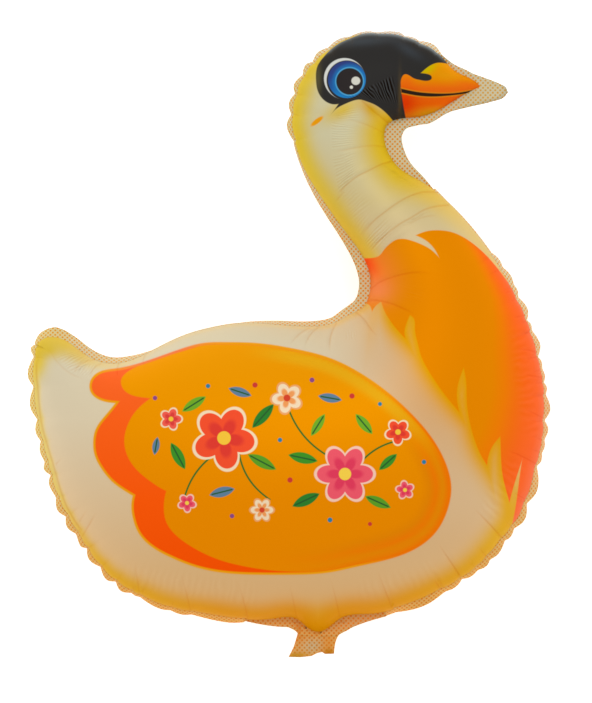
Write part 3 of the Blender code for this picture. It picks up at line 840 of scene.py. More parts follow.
inks = {
    # cream ground from the crown down to the belly, warmer and darker towards the belly: partly
    # the print's own gradient, partly painted shade, as the light comes from the crown's side
    "creamAndShade": ((30, "#CEC8A4"), (130, "#CDC6A2"), (200, "#D0BE88"), (250, "#D4C096"),
              (300, "#D0C4A4"), (350, "#D5CAAD"), (420, "#DACAAA"), (500, "#DABD94"),
              (570, "#D8B07C"), (620, "#D6A66C")),
    # yellow airbrushed along the seam: place on the edge, width in pixels, strength, hex
    "upperGlow": ((0, 17, 0.92, "#D8B832"), (3, 16, 0.9, "#D8B83A"), (4.2, 12, 0.75, "#D8B848"),
                  (5.2, 8, 0.5, "#DAC060"), (6.5, 5, 0.4, "#E0C468"), (8, 3, 0.3, "#E0C070"),
                  (12, 3, 0.35, "#E0C070"),
                  (15, 5, 0.5, "#E2B850"), (17, 7, 0.8, "#E2AC34"), (18.5, 15, 1, "#DEB018"),
                  (20, 17, 0.95, "#DCB834"), (22, 17, 0.95, "#D8BC3A"), (24, 17, 1, "#D6BA30"),
                  (26, 19, 1, "#D4B838"), (28, 17, 1, "#D4B83A"), (30, 12, 1, "#D8B440"),
                  (37, 6, 0.5, "#E0B440")),
    "lowerGlow": ((0, 17, 0.95, "#DAB82E"), (1, 11, 0.95, "#DABA38"), (2, 6.5, 0.85, "#DCC252"),
                  (4, 6, 0.8, "#DCC45E"), (5, 6.5, 0.85, "#DABE50"), (6, 8, 0.85, "#D8AE34"),
                  (7, 11, 1, "#D8A620"),
                  (9, 17, 1, "#D69C10"), (11, 19, 1, "#D68E00"), (13, 19, 1, "#D68A00"),
                  (18, 21, 1, "#D68C00"), (20, 20, 1, "#D6980A"), (22, 20, 1, "#D8A41A"),
                  (24, 18, 0.95, "#DAA01A"), (30, 11, 0.6, "#E0B02C"), (32.5, 12, 0.55, "#DEB848"),
                  (34, 15, 0.5, "#E0BE60"), (35, 18, 0.68, "#E0BA44"), (36, 23, 0.92, "#DEBA30"),
                  (37, 26, 1, "#DCBA24"), (39, 26, 1, "#DCB81C"), (40.5, 16, 1, "#DCB01C"),
                  (41.5, 8, 0.8, "#DDAA28"), (45, 6, 0.5, "#E0B440")),
    # yellow round the flames, off their edge by this many pixels
    "flameGlow": ((300, "#DEA010"), (380, "#E09C04"), (430, "#E09A0A"), (500, "#DEA41C")),
    "flameGlowWidth": 14,
    "flameGlowFades": ((262, 300), (505, 530), (362, 392)),  # by y, and by x at both sides
    "bodySpots": ((318, 627, 17, 14, 0, "#DA9000", 1.0),
                  (342, 110, 21, 9, -28, "#D4B438", 0.9), (372, 110, 16, 8, 42, "#D2A224", 1.0),
                  (49, 350, 12, 9, 0, "#D9B83A", 0.9), (40, 364, 8, 15, 10, "#DAC050", 0.8),
                  (322, 614, 34, 13, 0, "#D89810", 0.7),
                  (425, 395, 62, 110, -25, "#D6A874", 1.0), (400, 540, 130, 30, 0, "#D4AA78", 0.4)),
    # patch: by distance from the seam over a width that changes with the height
    "patch": ((0, "#EE6C40"), (8, "#F4642A"), (20, "#F5661E"), (30, "#F26E12"), (42, "#EE7C06"),
              (56, "#E68500"), (80, "#E48500")),
    "patchWidth": ((250, 0.3), (300, 0.45), (350, 0.8), (420, 1.1), (480, 1.4)),
    "patchLeft": (430, 470), "patchLeftStep": 60,  # left of it the colours lie further in
    "patchSpots": ((372, 268, 30, 23, 70, "#F28030", 1.0), (367, 262, 16, 8, 60, "#FA5214", 1.0),
                   (377, 290, 14, 12, 0, "#F0885A", 0.6),
                   (420, 250, 40, 20, 20, "#E88A00", 0.5)),
    "wing": ((340, "#EA9806"), (400, "#EC9400"), (500, "#E88800"), (575, "#E88600")),
    # yellow inside the wing's upper right edge, by x, by y, and in and out by distance from it
    "wingGlow": "#E4AA18", "wingGlowStrength": 0.85,
    "wingGlowFades": ((235, 300), (400, 460), (2, 6), (10, 20)),
    # bands inside its lower right edge, by distance from it, with the same for them
    "wingBands": ((0, "#EE7602"), (4, "#EC7804"), (8, "#E48606"), (11, "#E68204"), (15, "#EC7804"),
                  (22, "#E28204")),
    "wingBandFades": ((260, 400), (420, 480), (20, 32)),
    "band": ((350, "#F4683A"), (380, "#F56426"), (420, "#F9601A"), (500, "#FA580A"),
             (575, "#F65002")),
    # the line round the wing: width, ink, and the inks of two oval stretches of it with the
    # pixels over which they fade
    "wingEdge": 2.4, "wingEdgeInk": "#E99C10",
    "wingEdgeSpots": (((158, 356, 60, 17), 10.0, "#EE7C44"),
                      ((440, 500, 80, 115), 30.0, "#EC7804")),
    "iris": ((2, "#343C78"), (14, "#2E4684"), (24, "#245C9E"), (36, "#1C8ACC")),
    "irisAcross": (330, 62, 0.5, 0.866),  # pixel that its ramp starts from, and its direction
    "mask": ((0, "#2F2E2D"), (1, "#2F2E2D")),
    # the mask's airbrushed brown strips at its left rim and by the beak, then two bluish-grey spots
    # on the crown that are painted sheen
    "maskSpotsAndSheen": ((318, 80, 3.5, 17, 0, "#565036", 0.9), (400, 96, 1.8, 22, 0, "#56482E", 0.8),
                  (362, 41, 34, 5, -4, "#454C52", 0.6),
                  (408, 50, 16, 5, 32, "#40474E", 0.5)),
    # a bluish-grey band along the seam at the crown, fading out downwards: painted sheen where the
    # foil turns steeply down to the seam
    "maskRim": "#808C92", "maskSheenWidth": 2.6, "maskSheenStrength": 0.8, "maskSheenEnd": (52, 66),
    "beak": ((64, "#E49406"), (80, "#E48604"), (88, "#E86A10"), (93, "#E46410"), (104, "#E65E06"),
             (120, "#DE8A14")),
    "beakSpots": ((427, 69, 11, 5.5, -32, "#C8B200", 1.0), (447, 76, 14, 5, 8, "#E29A0E", 0.5),
                  (406, 82, 9, 8, 0, "#EA6A12", 0.8), (405, 103, 12, 14, 0, "#DE3A04", 1.0),
                  (430, 113, 16, 5, -10, "#CE900C", 0.9), (472, 87, 16, 4, 16, "#EE6A14", 0.7)),
    "mouth": "#2C2018", "mouthRim": "#DC8C1A", "mouthRimWidth": 0.9,
}


# The seam's glow at each point: exp(-(distance / width)^3), with width, strength and colour
# read from the tables at the nearest seam point
def seamGlow(ink, distance, nearest):
    glows = []
    for edge, key, at in ((upper, "upperGlow", seam["onUpper"]),
                          (lower, "lowerGlow", seam["onLower"])):
        place, width, strength, code = zip(*inks[key])
        place = edge.lengthAt(np.array(place, float))
        glows.append(np.column_stack((np.interp(at, place, width), np.interp(at, place, strength),
                                      inkRamp(at, list(zip(place, code))))))
    glow = np.where(seam["onLower"][:, None] < 0, *glows)[nearest]
    return layOver(ink, glow[:, 2:], glow[:, 1] * np.exp(-((distance / glow[:, 0]) ** 3)))


# The soft colours of each printed shape at each point, with painted shade in the cream ground
# towards the belly and painted sheen on the mask at the crown
def printInks(places, distance, nearest, fields):
    x, y = places[:, 0], places[:, 1]
    # the cream ground, partly painted shade towards the belly
    body = spotsOfInkAndLight(inkRamp(y, inks["creamAndShade"]), places, inks["bodySpots"])
    offPatch = np.maximum(-patchField(fields, smallest, largest), 0) / inks["flameGlowWidth"]
    down, right, left = inks["flameGlowFades"]
    lowLeft = fade(y, *down) * (1 - fade(x, *right)) * (0.3 + 0.7 * fade(x, *left))
    body = layOver(body, inkRamp(y, inks["flameGlow"]), lowLeft * np.exp(-(offPatch**2)))
    wing = largest(fields["outerMain"], fields["outerLobe"])
    right, down, start, end = inks["wingGlowFades"]
    glow = inks["wingGlowStrength"] * fade(wing, *start) * (1 - fade(wing, *end))
    glow = glow * (fade(x, *right) * (1 - fade(y, *down)))
    wingInk = layOver(inkRamp(y, inks["wing"]), inks["wingGlow"], glow)
    right, down, end = inks["wingBandFades"]
    bands = fade(x, *right) * fade(y, *down) * (1 - fade(wing, *end))
    wingInk = layOver(wingInk, inkRamp(wing, inks["wingBands"]), bands)
    # painted sheen along the seam at the mask's crown
    rim = inks["maskSheenStrength"] * np.exp(-((distance / inks["maskSheenWidth"]) ** 2))
    rim = rim * (1 - fade(y, *inks["maskSheenEnd"]))
    mask = spotsOfInkAndLight(inkRamp(y, inks["mask"]), places, inks["maskSpotsAndSheen"])
    startX, startY, alongX, alongY = inks["irisAcross"]
    widths = np.array(inks["patchWidth"])
    fromRight = distance / np.interp(y, widths[:, 0], widths[:, 1])
    fromRight = fromRight + inks["patchLeftStep"] * (1 - fade(x, *inks["patchLeft"]))
    return {
        "irisInk": inkRamp((x - startX) * alongX + (y - startY) * alongY, inks["iris"]),
        "bodyInkAndShade": seamGlow(body, distance, nearest),
        "patchInk": spotsOfInkAndLight(inkRamp(fromRight, inks["patch"]), places, inks["patchSpots"]),
        "bandInk": inkRamp(y, inks["band"]),
        "wingInk": wingInk,
        "maskInkAndSheen": layOver(mask, inks["maskRim"], rim),
        "beakInk": spotsOfInkAndLight(inkRamp(y, inks["beak"]), places, inks["beakSpots"]),
    }


# Point values for a printed face: its place in the print, and fields packed three by three
def printLayers(grid, distance, nearest, pixelsOf):
    places = pixelsOf(grid).reshape(-1, 2)
    away, at = distance.ravel() / unit, nearest.ravel()
    fields = printFields(places)
    layers = {"place": np.column_stack((places, away))}
    if pixelsOf is pixelsSeen:
        layers["crease"] = creasePlaces(places)
        layers["fan"] = fanPlaces(places)
    for number in range(0, len(fieldNames), 3):
        pack = [fields[name] for name in fieldNames[number : number + 3]]
        pack += [pack[0]] * (3 - len(pack))
        layers["fields%d" % (number // 3)] = np.column_stack(pack)
    layers.update(printInks(places, away, at, fields))
    return layers


foils = []
for name, columns, rows, side, pixelsOf in (
        ("front_foil", envelope["columns"], envelope["rows"], 1, pixelsSeen),
        ("back_foil", envelope["backColumns"], envelope["backRows"], -1, pixelsBelow)):
    grid, flat, distance, nearest = makeFace(columns, rows, side)
    layers = printLayers(grid, distance, nearest, pixelsOf)
    foils.append(filmPiece(name, grid, flat, layers, side < 0))
print("foils made")

border = {
    "thickness": 0.0010,
    "tuckedIn": 0.003,  # it starts this far inside the seam, between the foils
    "lift": 0.0012,  # a lobe's middle stands up by this
    # outer line where the border is wide: place on the edge, photo pixel
    "lowerRoot": ((11.5, (244.5, 621)), (12, (270, 625.8)), (12.5, (284, 627)),
                  (12.9, (291, 628.4)),
                  (13.1, (295.5, 631)), (13.5, (299, 634.5)), (14, (308, 636)), (15, (318, 637)),
                  (16, (329, 636)), (16.5, (336, 636.5)), (16.9, (341, 633.6)), (17.1, (346, 631)),
                  (17.4, (352, 627.6)), (17.8, (366, 622.2)), (18.3, (386, 616.4))),
    "upperTip": ((34, (441, 54)), (34.5, (453, 63.5)), (35, (462, 68)), (35.5, (472, 73)),
                 (36, (487, 78.6)), (36.3, (496, 82)), (36.6, (502.5, 85)), (36.85, (506.6, 88.3)),
                 (37, (508, 92.5))),
    "lowerTip": ((35.5, (434, 190)), (36, (423.6, 177)), (37, (410.6, 163)), (37.6, (404.5, 151)),
                 (38.2, (401.8, 141)), (39, (402.6, 134)), (39.6, (404.5, 130.5)),
                 (40.2, (407.5, 128)), (41, (412.5, 126.6)), (42, (423, 124.4)),
                 (42.6, (433, 121.8)),
                 (43, (444, 115)), (43.5, (456, 110.2)), (44, (468, 107.3)), (44.3, (477, 105.3)),
                 (44.6, (488, 102.8)), (44.8, (497.5, 100.3)), (44.93, (504.5, 97)),
                 (45, (508, 92.5))),
}


# Closed band along the seam: a profile (top sheet outwards, bottom sheet back) carried round
# the ring. Each profile place is the seam + out * width * share * t, turned back by the rest.
def makeBorder():
    flat, share, width = seam["flat"], seam["share"].copy(), envelope["borderWidth"]
    out = outward(flat)
    start = flat - out * (envelope["notchDepth"] * seam["puckered"])[:, None]
    tip = flat + out * (width * share)[:, None]
    for edge, key, at in ((upper, "upperTip", seam["onUpper"]),
                          (lower, "lowerTip", seam["onLower"]),
                          (lower, "lowerRoot", seam["onLower"])):
        place, pixels = zip(*border[key])
        knots = edge.lengthAt(np.array(place))
        here = (at >= knots[0]) & (at <= knots[-1])
        tip[here] = splineMatrix(knots, at[here]) @ flatPoints(pixels)
        share[here] = 1
    turned = np.sqrt(1 - np.minimum(share, 1) ** 2)
    steps = np.array([-border["tuckedIn"] / width, 0, 0.25, 0.5, 0.75, 1.0])
    inside = np.minimum(steps, 0)[None, :, None] * width * out[:, None]
    spread = np.maximum(steps, 0)
    wave = border["lift"] * (0.5 - seam["puckered"][:, None]) * spread**2
    middle = start[:, None] + (tip - start)[:, None] * spread[:, None] + inside
    height = wave - width * turned[:, None] * spread
    middle = np.concatenate((middle, height[:, :, None]), axis=2)
    half = np.column_stack((out * turned[:, None], np.sqrt(1 - turned**2)))[:, None]
    half *= border["thickness"] / 2
    profile = np.concatenate((middle + half, (middle - half)[:, ::-1]), axis=1) + toFrame
    # the same band laid out flat, for its dots
    laidOut = np.where((share >= 1)[:, None], tip, start + out * (width * share**0.4)[:, None])
    sheet = start[:, None] + (laidOut - start)[:, None] * spread[:, None] + inside
    sheet = np.concatenate((sheet, sheet[:, ::-1]), axis=1)
    index = np.arange(profile[..., 0].size).reshape(profile.shape[:2])
    ahead, beside = np.roll(index, -1, axis=0), np.roll(index, -1, axis=1)
    corner = np.roll(ahead, -1, axis=1)
    faces = np.stack((index, beside, corner, ahead), axis=2).reshape(-1, 4)
    return dottedPiece("seam_border", profile.reshape(-1, 3), faces, sheet.reshape(-1, 2))


edgeInks = {
    # the last stop, at the belly's root, is lightened: painted light against the shade under the
    # belly
    "ground": ((40, "#D6CFB0"), (150, "#D3C9A6"), (340, "#D8CAA2"), (470, "#DCBE84"),
               (560, "#DDB066"), (630, "#E4AC5C")),
    "dot": ((40, "#DC9430"), (150, "#DA8E24"), (260, "#E0881A"), (340, "#E09424"),
            (470, "#DE9230"), (560, "#D9842A"), (630, "#DC7A1E")),
    # airbrushed spots, lighter spots at the belly's root in both lists that are painted light
    # against the shade under the belly, and the scorched spots of the weld at the filling tail
    "groundSpots": ((336, 235, 12, 34, -25, "#D6BE86", 0.7),
                    (276, 624, 30, 7, 6, "#EEB66C", 0.9), (360, 622, 30, 8, -14, "#E6B074", 0.9),
                    (190, 334, 90, 16, -3, "#D6CCB2", 0.9), (296, 100, 24, 56, 15, "#CDC084", 0.9),
                    (35, 400, 26, 100, 0, "#E0CC84", 0.9), (50, 335, 26, 12, 0, "#DAC88C", 0.7),
                    (548, 410, 24, 100, 0, "#E2B888", 0.9), (385, 34, 66, 14, 0, "#CAD2D0", 0.8),
                    (470, 98, 60, 30, 0, "#C6BC9A", 0.9)),
    "dotSpots": ((276, 624, 30, 7, 6, "#F08A2C", 0.9), (360, 622, 30, 8, -14, "#F08A2C", 0.9),
                 (180, 336, 70, 14, -8, "#D8C08C", 0.9), (340, 70, 90, 60, 0, "#D88810", 0.9),
                 (35, 400, 26, 100, 0, "#D89A20", 0.9), (548, 410, 24, 100, 0, "#DE9040", 0.9),
                 (485, 92, 50, 26, 0, "#CB9A46", 0.9)),
}


# An edge piece with its flat place in millimetres, and point colours by height in the photo
# with airbrushed spots, and spots of painted light and shade at the belly's root and on the
# filling tail's folds
def dottedPiece(name, points, faces, sheet, moreGround=(), moreDots=()):
    layers = {"sheet": np.column_stack((sheet, np.zeros(len(sheet)))) * 1000}
    places = pixelsBelow(points)
    for ink, more in (("ground", moreGround), ("dot", moreDots)):
        layers[ink + "Ink"] = spotsOfInkAndLight(inkRamp(places[:, 1], edgeInks[ink]), places,
                                    edgeInks[ink + "Spots"] + more)
    return makePiece(name, points, faces.tolist(), layers)


fillingTail = {
    "left": ((291, 622), (296, 628.5), (297.5, 633), (296.3, 638), (294.5, 644), (292, 650),
             (288.5, 656.3)),
    "right": ((349, 622), (344, 630), (339, 635), (336.5, 639.5), (335, 645), (334, 653.8)),
    "end": ((0, 0.5), (0.25, 1.6), (0.5, 1), (0.65, -1.8), (0.74, -2.4), (0.8, -0.4), (1, 0)),
    "thickness": 0.0010,
    "across": 60,
    "down": 48,
    "foldHeight": 0.0016,
    # its folds' sines: waves across, their drift down, their start, and share of the height
    "folds": ((2.6, 0.12, 0.0, 0.6), (4.3, -0.25, 0.3, 0.4)),
    # its ground's spots: a darker strip down each side and a paler, greyer middle, painted shade
    # and light of its folds, with greyer dots there in its dots' list; a darker band at its end;
    # and four scorched spots of the weld at its root
    "ground": ((300, 634, 8, 12, 15, "#DA8C38", 0.8), (312, 646, 12, 8, -15, "#CCB48A", 0.9),
               (328, 644, 6, 14, 5, "#DA9848", 0.9), (318, 633, 14, 4, 0, "#E49E44", 0.6),
               (296, 656, 12, 3.5, -5, "#C48A22", 1), (329, 652, 6, 3.5, 0, "#C27A18", 1),
               (306.5, 628.5, 2.4, 1.5, 45, "#3A1E10", 1), (311, 632, 2.6, 1.7, 10, "#2A1408", 1),
               (322, 632.6, 2.4, 1.5, -5, "#3A1E10", 1), (328, 628.6, 2.4, 1.5, -45, "#3A1E10", 1)),
    "dots": ((312, 646, 12, 8, -15, "#C88A3C", 0.9), (296, 656, 14, 4, -5, "#CE9628", 1),
             (329, 652, 6, 4, 0, "#C27A18", 1)),
}


# Closed slab on a flat tab: the straight mix of its two side lines, with folds in its height
# that grow from the root, a sum of sines across
def makeTail():
    tail = fillingTail
    t = np.linspace(0, 1, tail["down"] + 1)
    a = np.linspace(0, 1, tail["across"] + 1)[:, None]
    sides = []
    for key in ("left", "right"):
        path = smoothPath(tail[key], 0.5)
        knots = chordKnots(path) / chordKnots(path)[-1]
        sides.append(np.stack([np.interp(t, knots, path[:, k]) for k in (0, 1)], axis=1))
    flat = sides[0] * (1 - a)[:, :, None] + sides[1] * a[:, :, None]
    ends = np.array(tail["end"])
    flat[:, :, 1] += np.interp(a, ends[:, 0], ends[:, 1]) * t**3
    height = sum(np.sin(2 * np.pi * (waves * a + drift * t + start)) * part
                 for waves, drift, start, part in tail["folds"])
    height *= tail["foldHeight"] * (0.25 + 0.75 * t)
    middle = np.concatenate((flatPoints(flat), height[:, :, None]), axis=2) + toFrame
    lift = np.array([0, 0, tail["thickness"] / 2])
    index = np.arange(height.size).reshape(height.shape)
    quads = np.stack((index[:-1, :-1], index[:-1, 1:], index[1:, 1:], index[1:, :-1]), axis=2)
    quads = quads.reshape(-1, 4)
    rim = np.concatenate((index[:-1, 0], index[-1, :-1], index[:0:-1, -1], index[0, :0:-1]))
    ahead = np.roll(rim, -1)
    walls = np.stack((rim, ahead, ahead + index.size, rim + index.size), axis=1)
    faces = np.concatenate((quads, quads[:, ::-1] + index.size, walls))
    points = np.concatenate(((middle + lift).reshape(-1, 3), (middle - lift).reshape(-1, 3)))
    return dottedPiece("filling_tail", points, faces, points[:, :2] - drawing["shift"],
                       tail["ground"], tail["dots"])


seamBorder = makeBorder()
tailPiece = makeTail()
print("border and filling tail made")


# Adds one node to a material: its kind, the values or links of its inputs in order, its
# settings, and the number of the output that goes on
def addNode(tree, kind, *inputs, out=0, **settings):
    node = tree.nodes.new("ShaderNode" + kind)
    for name, value in settings.items():
        setattr(node, name, value)
    slots = [slot for slot in node.inputs if slot.enabled]
    for slot, value in zip(slots, inputs):
        if isinstance(value, bpy.types.NodeSocket):
            tree.links.new(value, slot)
        elif value is not None:
            slot.default_value = value
    return [output for output in node.outputs if output.enabled][out]


# The parts of a vector attribute, as sockets
def attributeParts(put, name):
    return put("SeparateXYZ", put("Attribute", attribute_name=name, out=1)).node.outputs


# A new material with its finish set, its shader, and what adds nodes to it
def startMaterial(name, finish):
    material = bpy.data.materials.new(name)
    material.use_nodes = True
    shader = material.node_tree.nodes["Principled BSDF"]
    for slot, value in finish.items():
        shader.inputs[slot].default_value = value
    return material, shader, partial(addNode, material.node_tree)


# Satin film under a soft even light: a wide faint sheen, warm as the ink over the metal is
filmFinish = {"Roughness": 0.48, "Metallic": 0.14, "Specular IOR Level": 0.01,
              "Specular Tint": linearColour("#FFC450")}

eye = {
    "white": (344.5, 78.6, 20.5, 20.5), "whiteCut": (346.7, 80.5, 20.15, 20.15),
    "whiteInk": "#D2D3CD",
    "iris": (346.8, 79.5, 18.8, 18.4),
    "glow": (349.6, 81.4, 16.6, 16.6), "glowInk": "#2370B0",
    # ring, pupil and two glints
    "marks": (((349.6, 81.4, 14.5, 14.5), "#4E9FCA"), ((349.6, 81.4, 13.4, 13.3), "#2E2A2A"),
              ((355.8, 80.8, 4.4, 4.15), "#CDCCC0"), ((351.4, 87.2, 1.6, 1.6), "#D4D3C8")),
    "cheek": (317, 121.2, 7.5, 2.3), "cheekTurn": -37.6, "cheekInk": "#E89A10",
}


# The wing's own design: blooms (x, y, radius, petals, turn, kind), leaves (x, y, half length,
# half width, turn, ink), stems (x, y, half length, bend, turn) and dots (x, y, radius, ink)
wingDesign = {
    "stems": ((198, 470, 38, 0.007, -52), (304, 436, 44, -0.006, 50), (372, 452, 32, 0.008, -36),
              (246, 474, 34, -0.008, 62)),
    "leaves": ((178, 456, 15, 5.5, 62, "#3F8F2A"), (194, 404, 14, 5, -32, "#6FA82A"),
               (263, 416, 16, 5.5, -48, "#2F7D2E"), (262, 462, 16, 5.5, 28, "#5B9B28"),
               (303, 458, 15, 5.5, 12, "#3F8F2A"), (318, 425, 13, 4.5, -58, "#6FA82A"),
               (306, 500, 15, 5.5, -25, "#2F7D2E"), (378, 502, 14, 5, 24, "#5B9B28"),
               (388, 462, 12, 4.5, -42, "#3F8F2A"), (364, 424, 13, 5, 50, "#6FA82A"),
               (222, 492, 13, 5, -14, "#5F7F98"), (240, 392, 12, 4.5, 18, "#5F7F98"),
               (330, 398, 12, 4.5, 10, "#5F7F98"), (156, 446, 9, 3.6, 100, "#5F7F98")),
    # a bloom's rim, heart, middle and the dip between its petals, as shares of its radius
    "rim": 0.07, "rimLeast": 0.8, "heart": 0.42, "heartSoftness": 0.1, "middle": 0.2, "dip": 0.34,
    # each kind's inks: rim, petals, heart and middle
    "bloomInks": {"red": ("#F0D8B4", "#F0502E", "#DC3C30", "#F2C23C"),
                  "pink": ("#F2C6B0", "#EC5868", "#DE3C5A", "#F4CE4A"),
                  "sand": ("#E9A468", "#F0D8B4", "#EC9A58", "#D2452C"),
                  "coral": ("#F0D8B4", "#EE5C4C", "#D8403C", "#F2C23C")},
    "blooms": ((224, 438, 34, 5, 10, "red"), (345, 474, 31, 6, 0, "pink"),
               (287, 398, 17, 5, 30, "sand"), (171, 419, 12, 5, 0, "coral"),
               (398, 432, 14, 5, 20, "red"), (262, 510, 13, 6, 0, "sand"),
               (187, 503, 10, 5, 15, "pink"), (405, 490, 10, 5, 45, "pink")),
    "dots": ((255, 385, 2.6, "#C83C34"), (208, 386, 2.2, "#2E7EA0"), (312, 380, 2.4, "#8A4A84"),
             (352, 396, 2.6, "#C83C34"), (380, 404, 2, "#2E7EA0"), (155, 398, 2.2, "#8A4A84"),
             (290, 480, 2.6, "#C83C34"), (330, 520, 2.4, "#2E7EA0"), (370, 524, 2, "#C83C34"),
             (232, 516, 2.2, "#8A4A84"), (280, 440, 2.2, "#2E7EA0"), (424, 462, 2.2, "#2E7EA0")),
    "stemInk": "#3B6E28", "stemWidth": 0.9,
    "veinInk": "#2A5A2E", "veinWidth": 0.7, "veinEnd": 1.2,  # half widths, and off a leaf's edge
}


# Printed metallised film, satin: PET with ink on it, so the ink's colour with a soft sheen. The
# back has no eye, mouth, wing design or creases.
def printedFilm(name, front):
    material, shader, put = startMaterial(name, filmFinish)
    links = material.node_tree.links
    place = put("Attribute", attribute_name="place", out=1)
    fields = {}
    for number in range(0, len(fieldNames), 3):
        parts = attributeParts(put, "fields%d" % (number // 3))
        fields.update(zip(fieldNames[number : number + 3], parts))

    # The least or the most of several sockets
    def pick(operation, result, *sockets):
        for socket in sockets:
            result = put("Math", result, socket, operation=operation)
        return result

    least, most = partial(pick, "MINIMUM"), partial(pick, "MAXIMUM")

    # 0 outside a field's line at a level, 1 inside, over about a pixel
    def inside(field, level=0.0, softness=0.6):
        return put("MapRange", field, level - softness, level + softness, 0.0, 1.0,
                   interpolation_type="SMOOTHSTEP")

    # Ink with a hex or another ink over it where the mask is 1
    def over(ink, colour, mask):
        colour = linearColour(colour) if isinstance(colour, str) else colour
        return put("Mix", mask, ink, colour, data_type="RGBA")

    # A soft ink of the film: airbrushed print, with painted shade in the body's cream and painted
    # sheen at the mask's crown
    def soft(name):
        return put("Attribute", attribute_name=name)

    # The print's place seen from a mark's own middle, turn and radii
    def ownPlace(x, y, turn, wide=1, high=1):
        return put("Mapping", place, (x, y, 0), (0, 0, np.radians(turn)), (wide, high, 1e6),
                   vector_type="TEXTURE")

    # Pixels inside a round or oval mark
    def roundMark(mark, turn=0.0):
        x, y, wide, high = mark
        length = put("VectorMath", ownPlace(x, y, turn, wide, high), operation="LENGTH")
        return put("Math", put("Math", 1.0, length, operation="SUBTRACT"), min(wide, high),
                   operation="MULTIPLY")

    # Petals: their reach (radius * (1 - dip + dip * |cos(petals * angle / 2)|)) less the distance
    def bloom(x, y, radius, petals, turn):
        dip = wingDesign["dip"] * radius
        own = ownPlace(x, y, turn)
        parts = put("SeparateXYZ", own).node.outputs
        angle = put("Math", parts[1], parts[0], operation="ARCTAN2")
        wave = put("Math", put("Math", angle, petals / 2, operation="MULTIPLY"), operation="COSINE")
        wave = put("Math", wave, operation="ABSOLUTE")
        reach = put("Math", wave, dip, radius - dip, operation="MULTIPLY_ADD")
        away = put("VectorMath", own, operation="LENGTH")
        return put("Math", reach, away, operation="SUBTRACT"), away

    # A leaf is where two equal discs overlap
    def leaf(x, y, long, wide, turn):
        parts = put("SeparateXYZ", ownPlace(x, y, turn)).node.outputs
        disc = (long**2 + wide**2) / (2 * wide)
        offMiddle = put("Math", parts[1], operation="ABSOLUTE")
        side = put("Math", offMiddle, disc - wide, operation="ADD")
        away = put("VectorMath", put("CombineXYZ", parts[0], side, 0.0), operation="LENGTH")
        vein = put("Math", wingDesign["veinWidth"], offMiddle, operation="SUBTRACT")
        field = put("Math", disc, away, operation="SUBTRACT")
        return field, least(vein, put("Math", field, wingDesign["veinEnd"], operation="SUBTRACT"))

    # A stem is a thin strip along the parabola v = bend * u^2
    def stem(x, y, long, bend, turn):
        u, v = put("SeparateXYZ", ownPlace(x, y, turn)).node.outputs[:2]
        curve = put("Math", put("Math", u, u, operation="MULTIPLY"), bend, operation="MULTIPLY")
        off = put("Math", put("Math", v, curve, operation="SUBTRACT"), operation="ABSOLUTE")
        ends = put("Math", long, put("Math", u, operation="ABSOLUTE"), operation="SUBTRACT")
        return least(put("Math", wingDesign["stemWidth"], off, operation="SUBTRACT"), ends)

    # the body's ink carries the cream ground's painted shade
    ink = over(soft("bodyInkAndShade"), soft("patchInk"), inside(patchField(fields, least, most)))
    outer = most(fields["outerMain"], fields["outerLobe"])
    edge = linearColour(inks["wingEdgeInk"])
    for mark, softness, code in inks["wingEdgeSpots"]:
        edge = over(edge, code, inside(roundMark(mark), 0.0, softness))
    ink = over(ink, edge, inside(outer, 0.0, 0.8))
    ink = over(ink, soft("bandInk"), inside(outer, inks["wingEdge"], 0.9))
    inner = most(fields["innerMain"], fields["innerLobe"])
    inner = least(inner, put("Math", outer, inks["wingEdge"], operation="SUBTRACT"))
    ink = over(ink, soft("wingInk"), inside(inner, 0.0, 0.8))

    if front:
        for shape in wingDesign["stems"]:
            ink = over(ink, wingDesign["stemInk"], inside(stem(*shape)))
        for *shape, code in wingDesign["leaves"]:
            field, vein = leaf(*shape)
            ink = over(ink, code, inside(field))
            ink = over(ink, wingDesign["veinInk"], inside(vein, 0.0, 0.5))
        for *shape, kind in wingDesign["blooms"]:
            rim, petal, heart, middle = wingDesign["bloomInks"][kind]
            field, away = bloom(*shape)
            radius = shape[2]
            ink = over(ink, rim, inside(field))
            rimWidth = wingDesign["rim"] * radius + wingDesign["rimLeast"]
            ink = over(ink, petal, inside(field, rimWidth))
            ink = over(ink, heart, inside(field, wingDesign["heart"] * radius,
                                          wingDesign["heartSoftness"] * radius))
            core = put("Math", wingDesign["middle"] * radius, away, operation="SUBTRACT")
            ink = over(ink, middle, inside(core))
        for x, y, radius, code in wingDesign["dots"]:
            ink = over(ink, code, inside(roundMark((x, y, radius, radius))))
        ink = over(ink, eye["cheekInk"], inside(roundMark(eye["cheek"], eye["cheekTurn"])))
    faceSide = most(fields["maskRim"], fields["maskHook"])
    # the mask's ink carries its painted sheen at the crown
    ink = over(ink, soft("maskInkAndSheen"), inside(least(fields["maskLow"], faceSide, fields["maskTop"])))
    ink = over(ink, soft("beakInk"), inside(least(fields["beakLow"], fields["beakTop"])))
    if front:
        mouth = least(fields["mouthTop"], fields["mouthLow"])
        rim = put("Math", mouth, inks["mouthRimWidth"], operation="ADD")
        ink = over(ink, inks["mouthRim"], inside(least(rim, fields["beakLow"]), 0.0, 1.0))
        ink = over(ink, inks["mouth"], inside(least(mouth, fields["beakLow"])))
        cutOut = put("Math", 0.0, roundMark(eye["whiteCut"]), operation="SUBTRACT")
        ink = over(ink, eye["whiteInk"], inside(least(roundMark(eye["white"]), cutOut)))
        iris = inside(roundMark(eye["iris"]))
        ink = over(ink, soft("irisInk"), iris)
        ink = over(ink, eye["glowInk"], least(inside(roundMark(eye["glow"]), 0.0, 3.0), iris))
        for mark, code in eye["marks"]:
            ink = over(ink, code, inside(roundMark(mark)))
        ink, height = creased(put, ink)
        metresPerUnit = 0.001  # its height is in millimetres
        links.new(put("Bump", 1.0, metresPerUnit, None, height), shader.inputs["Normal"])
    links.new(ink, shader.inputs["Base Color"])
    return material
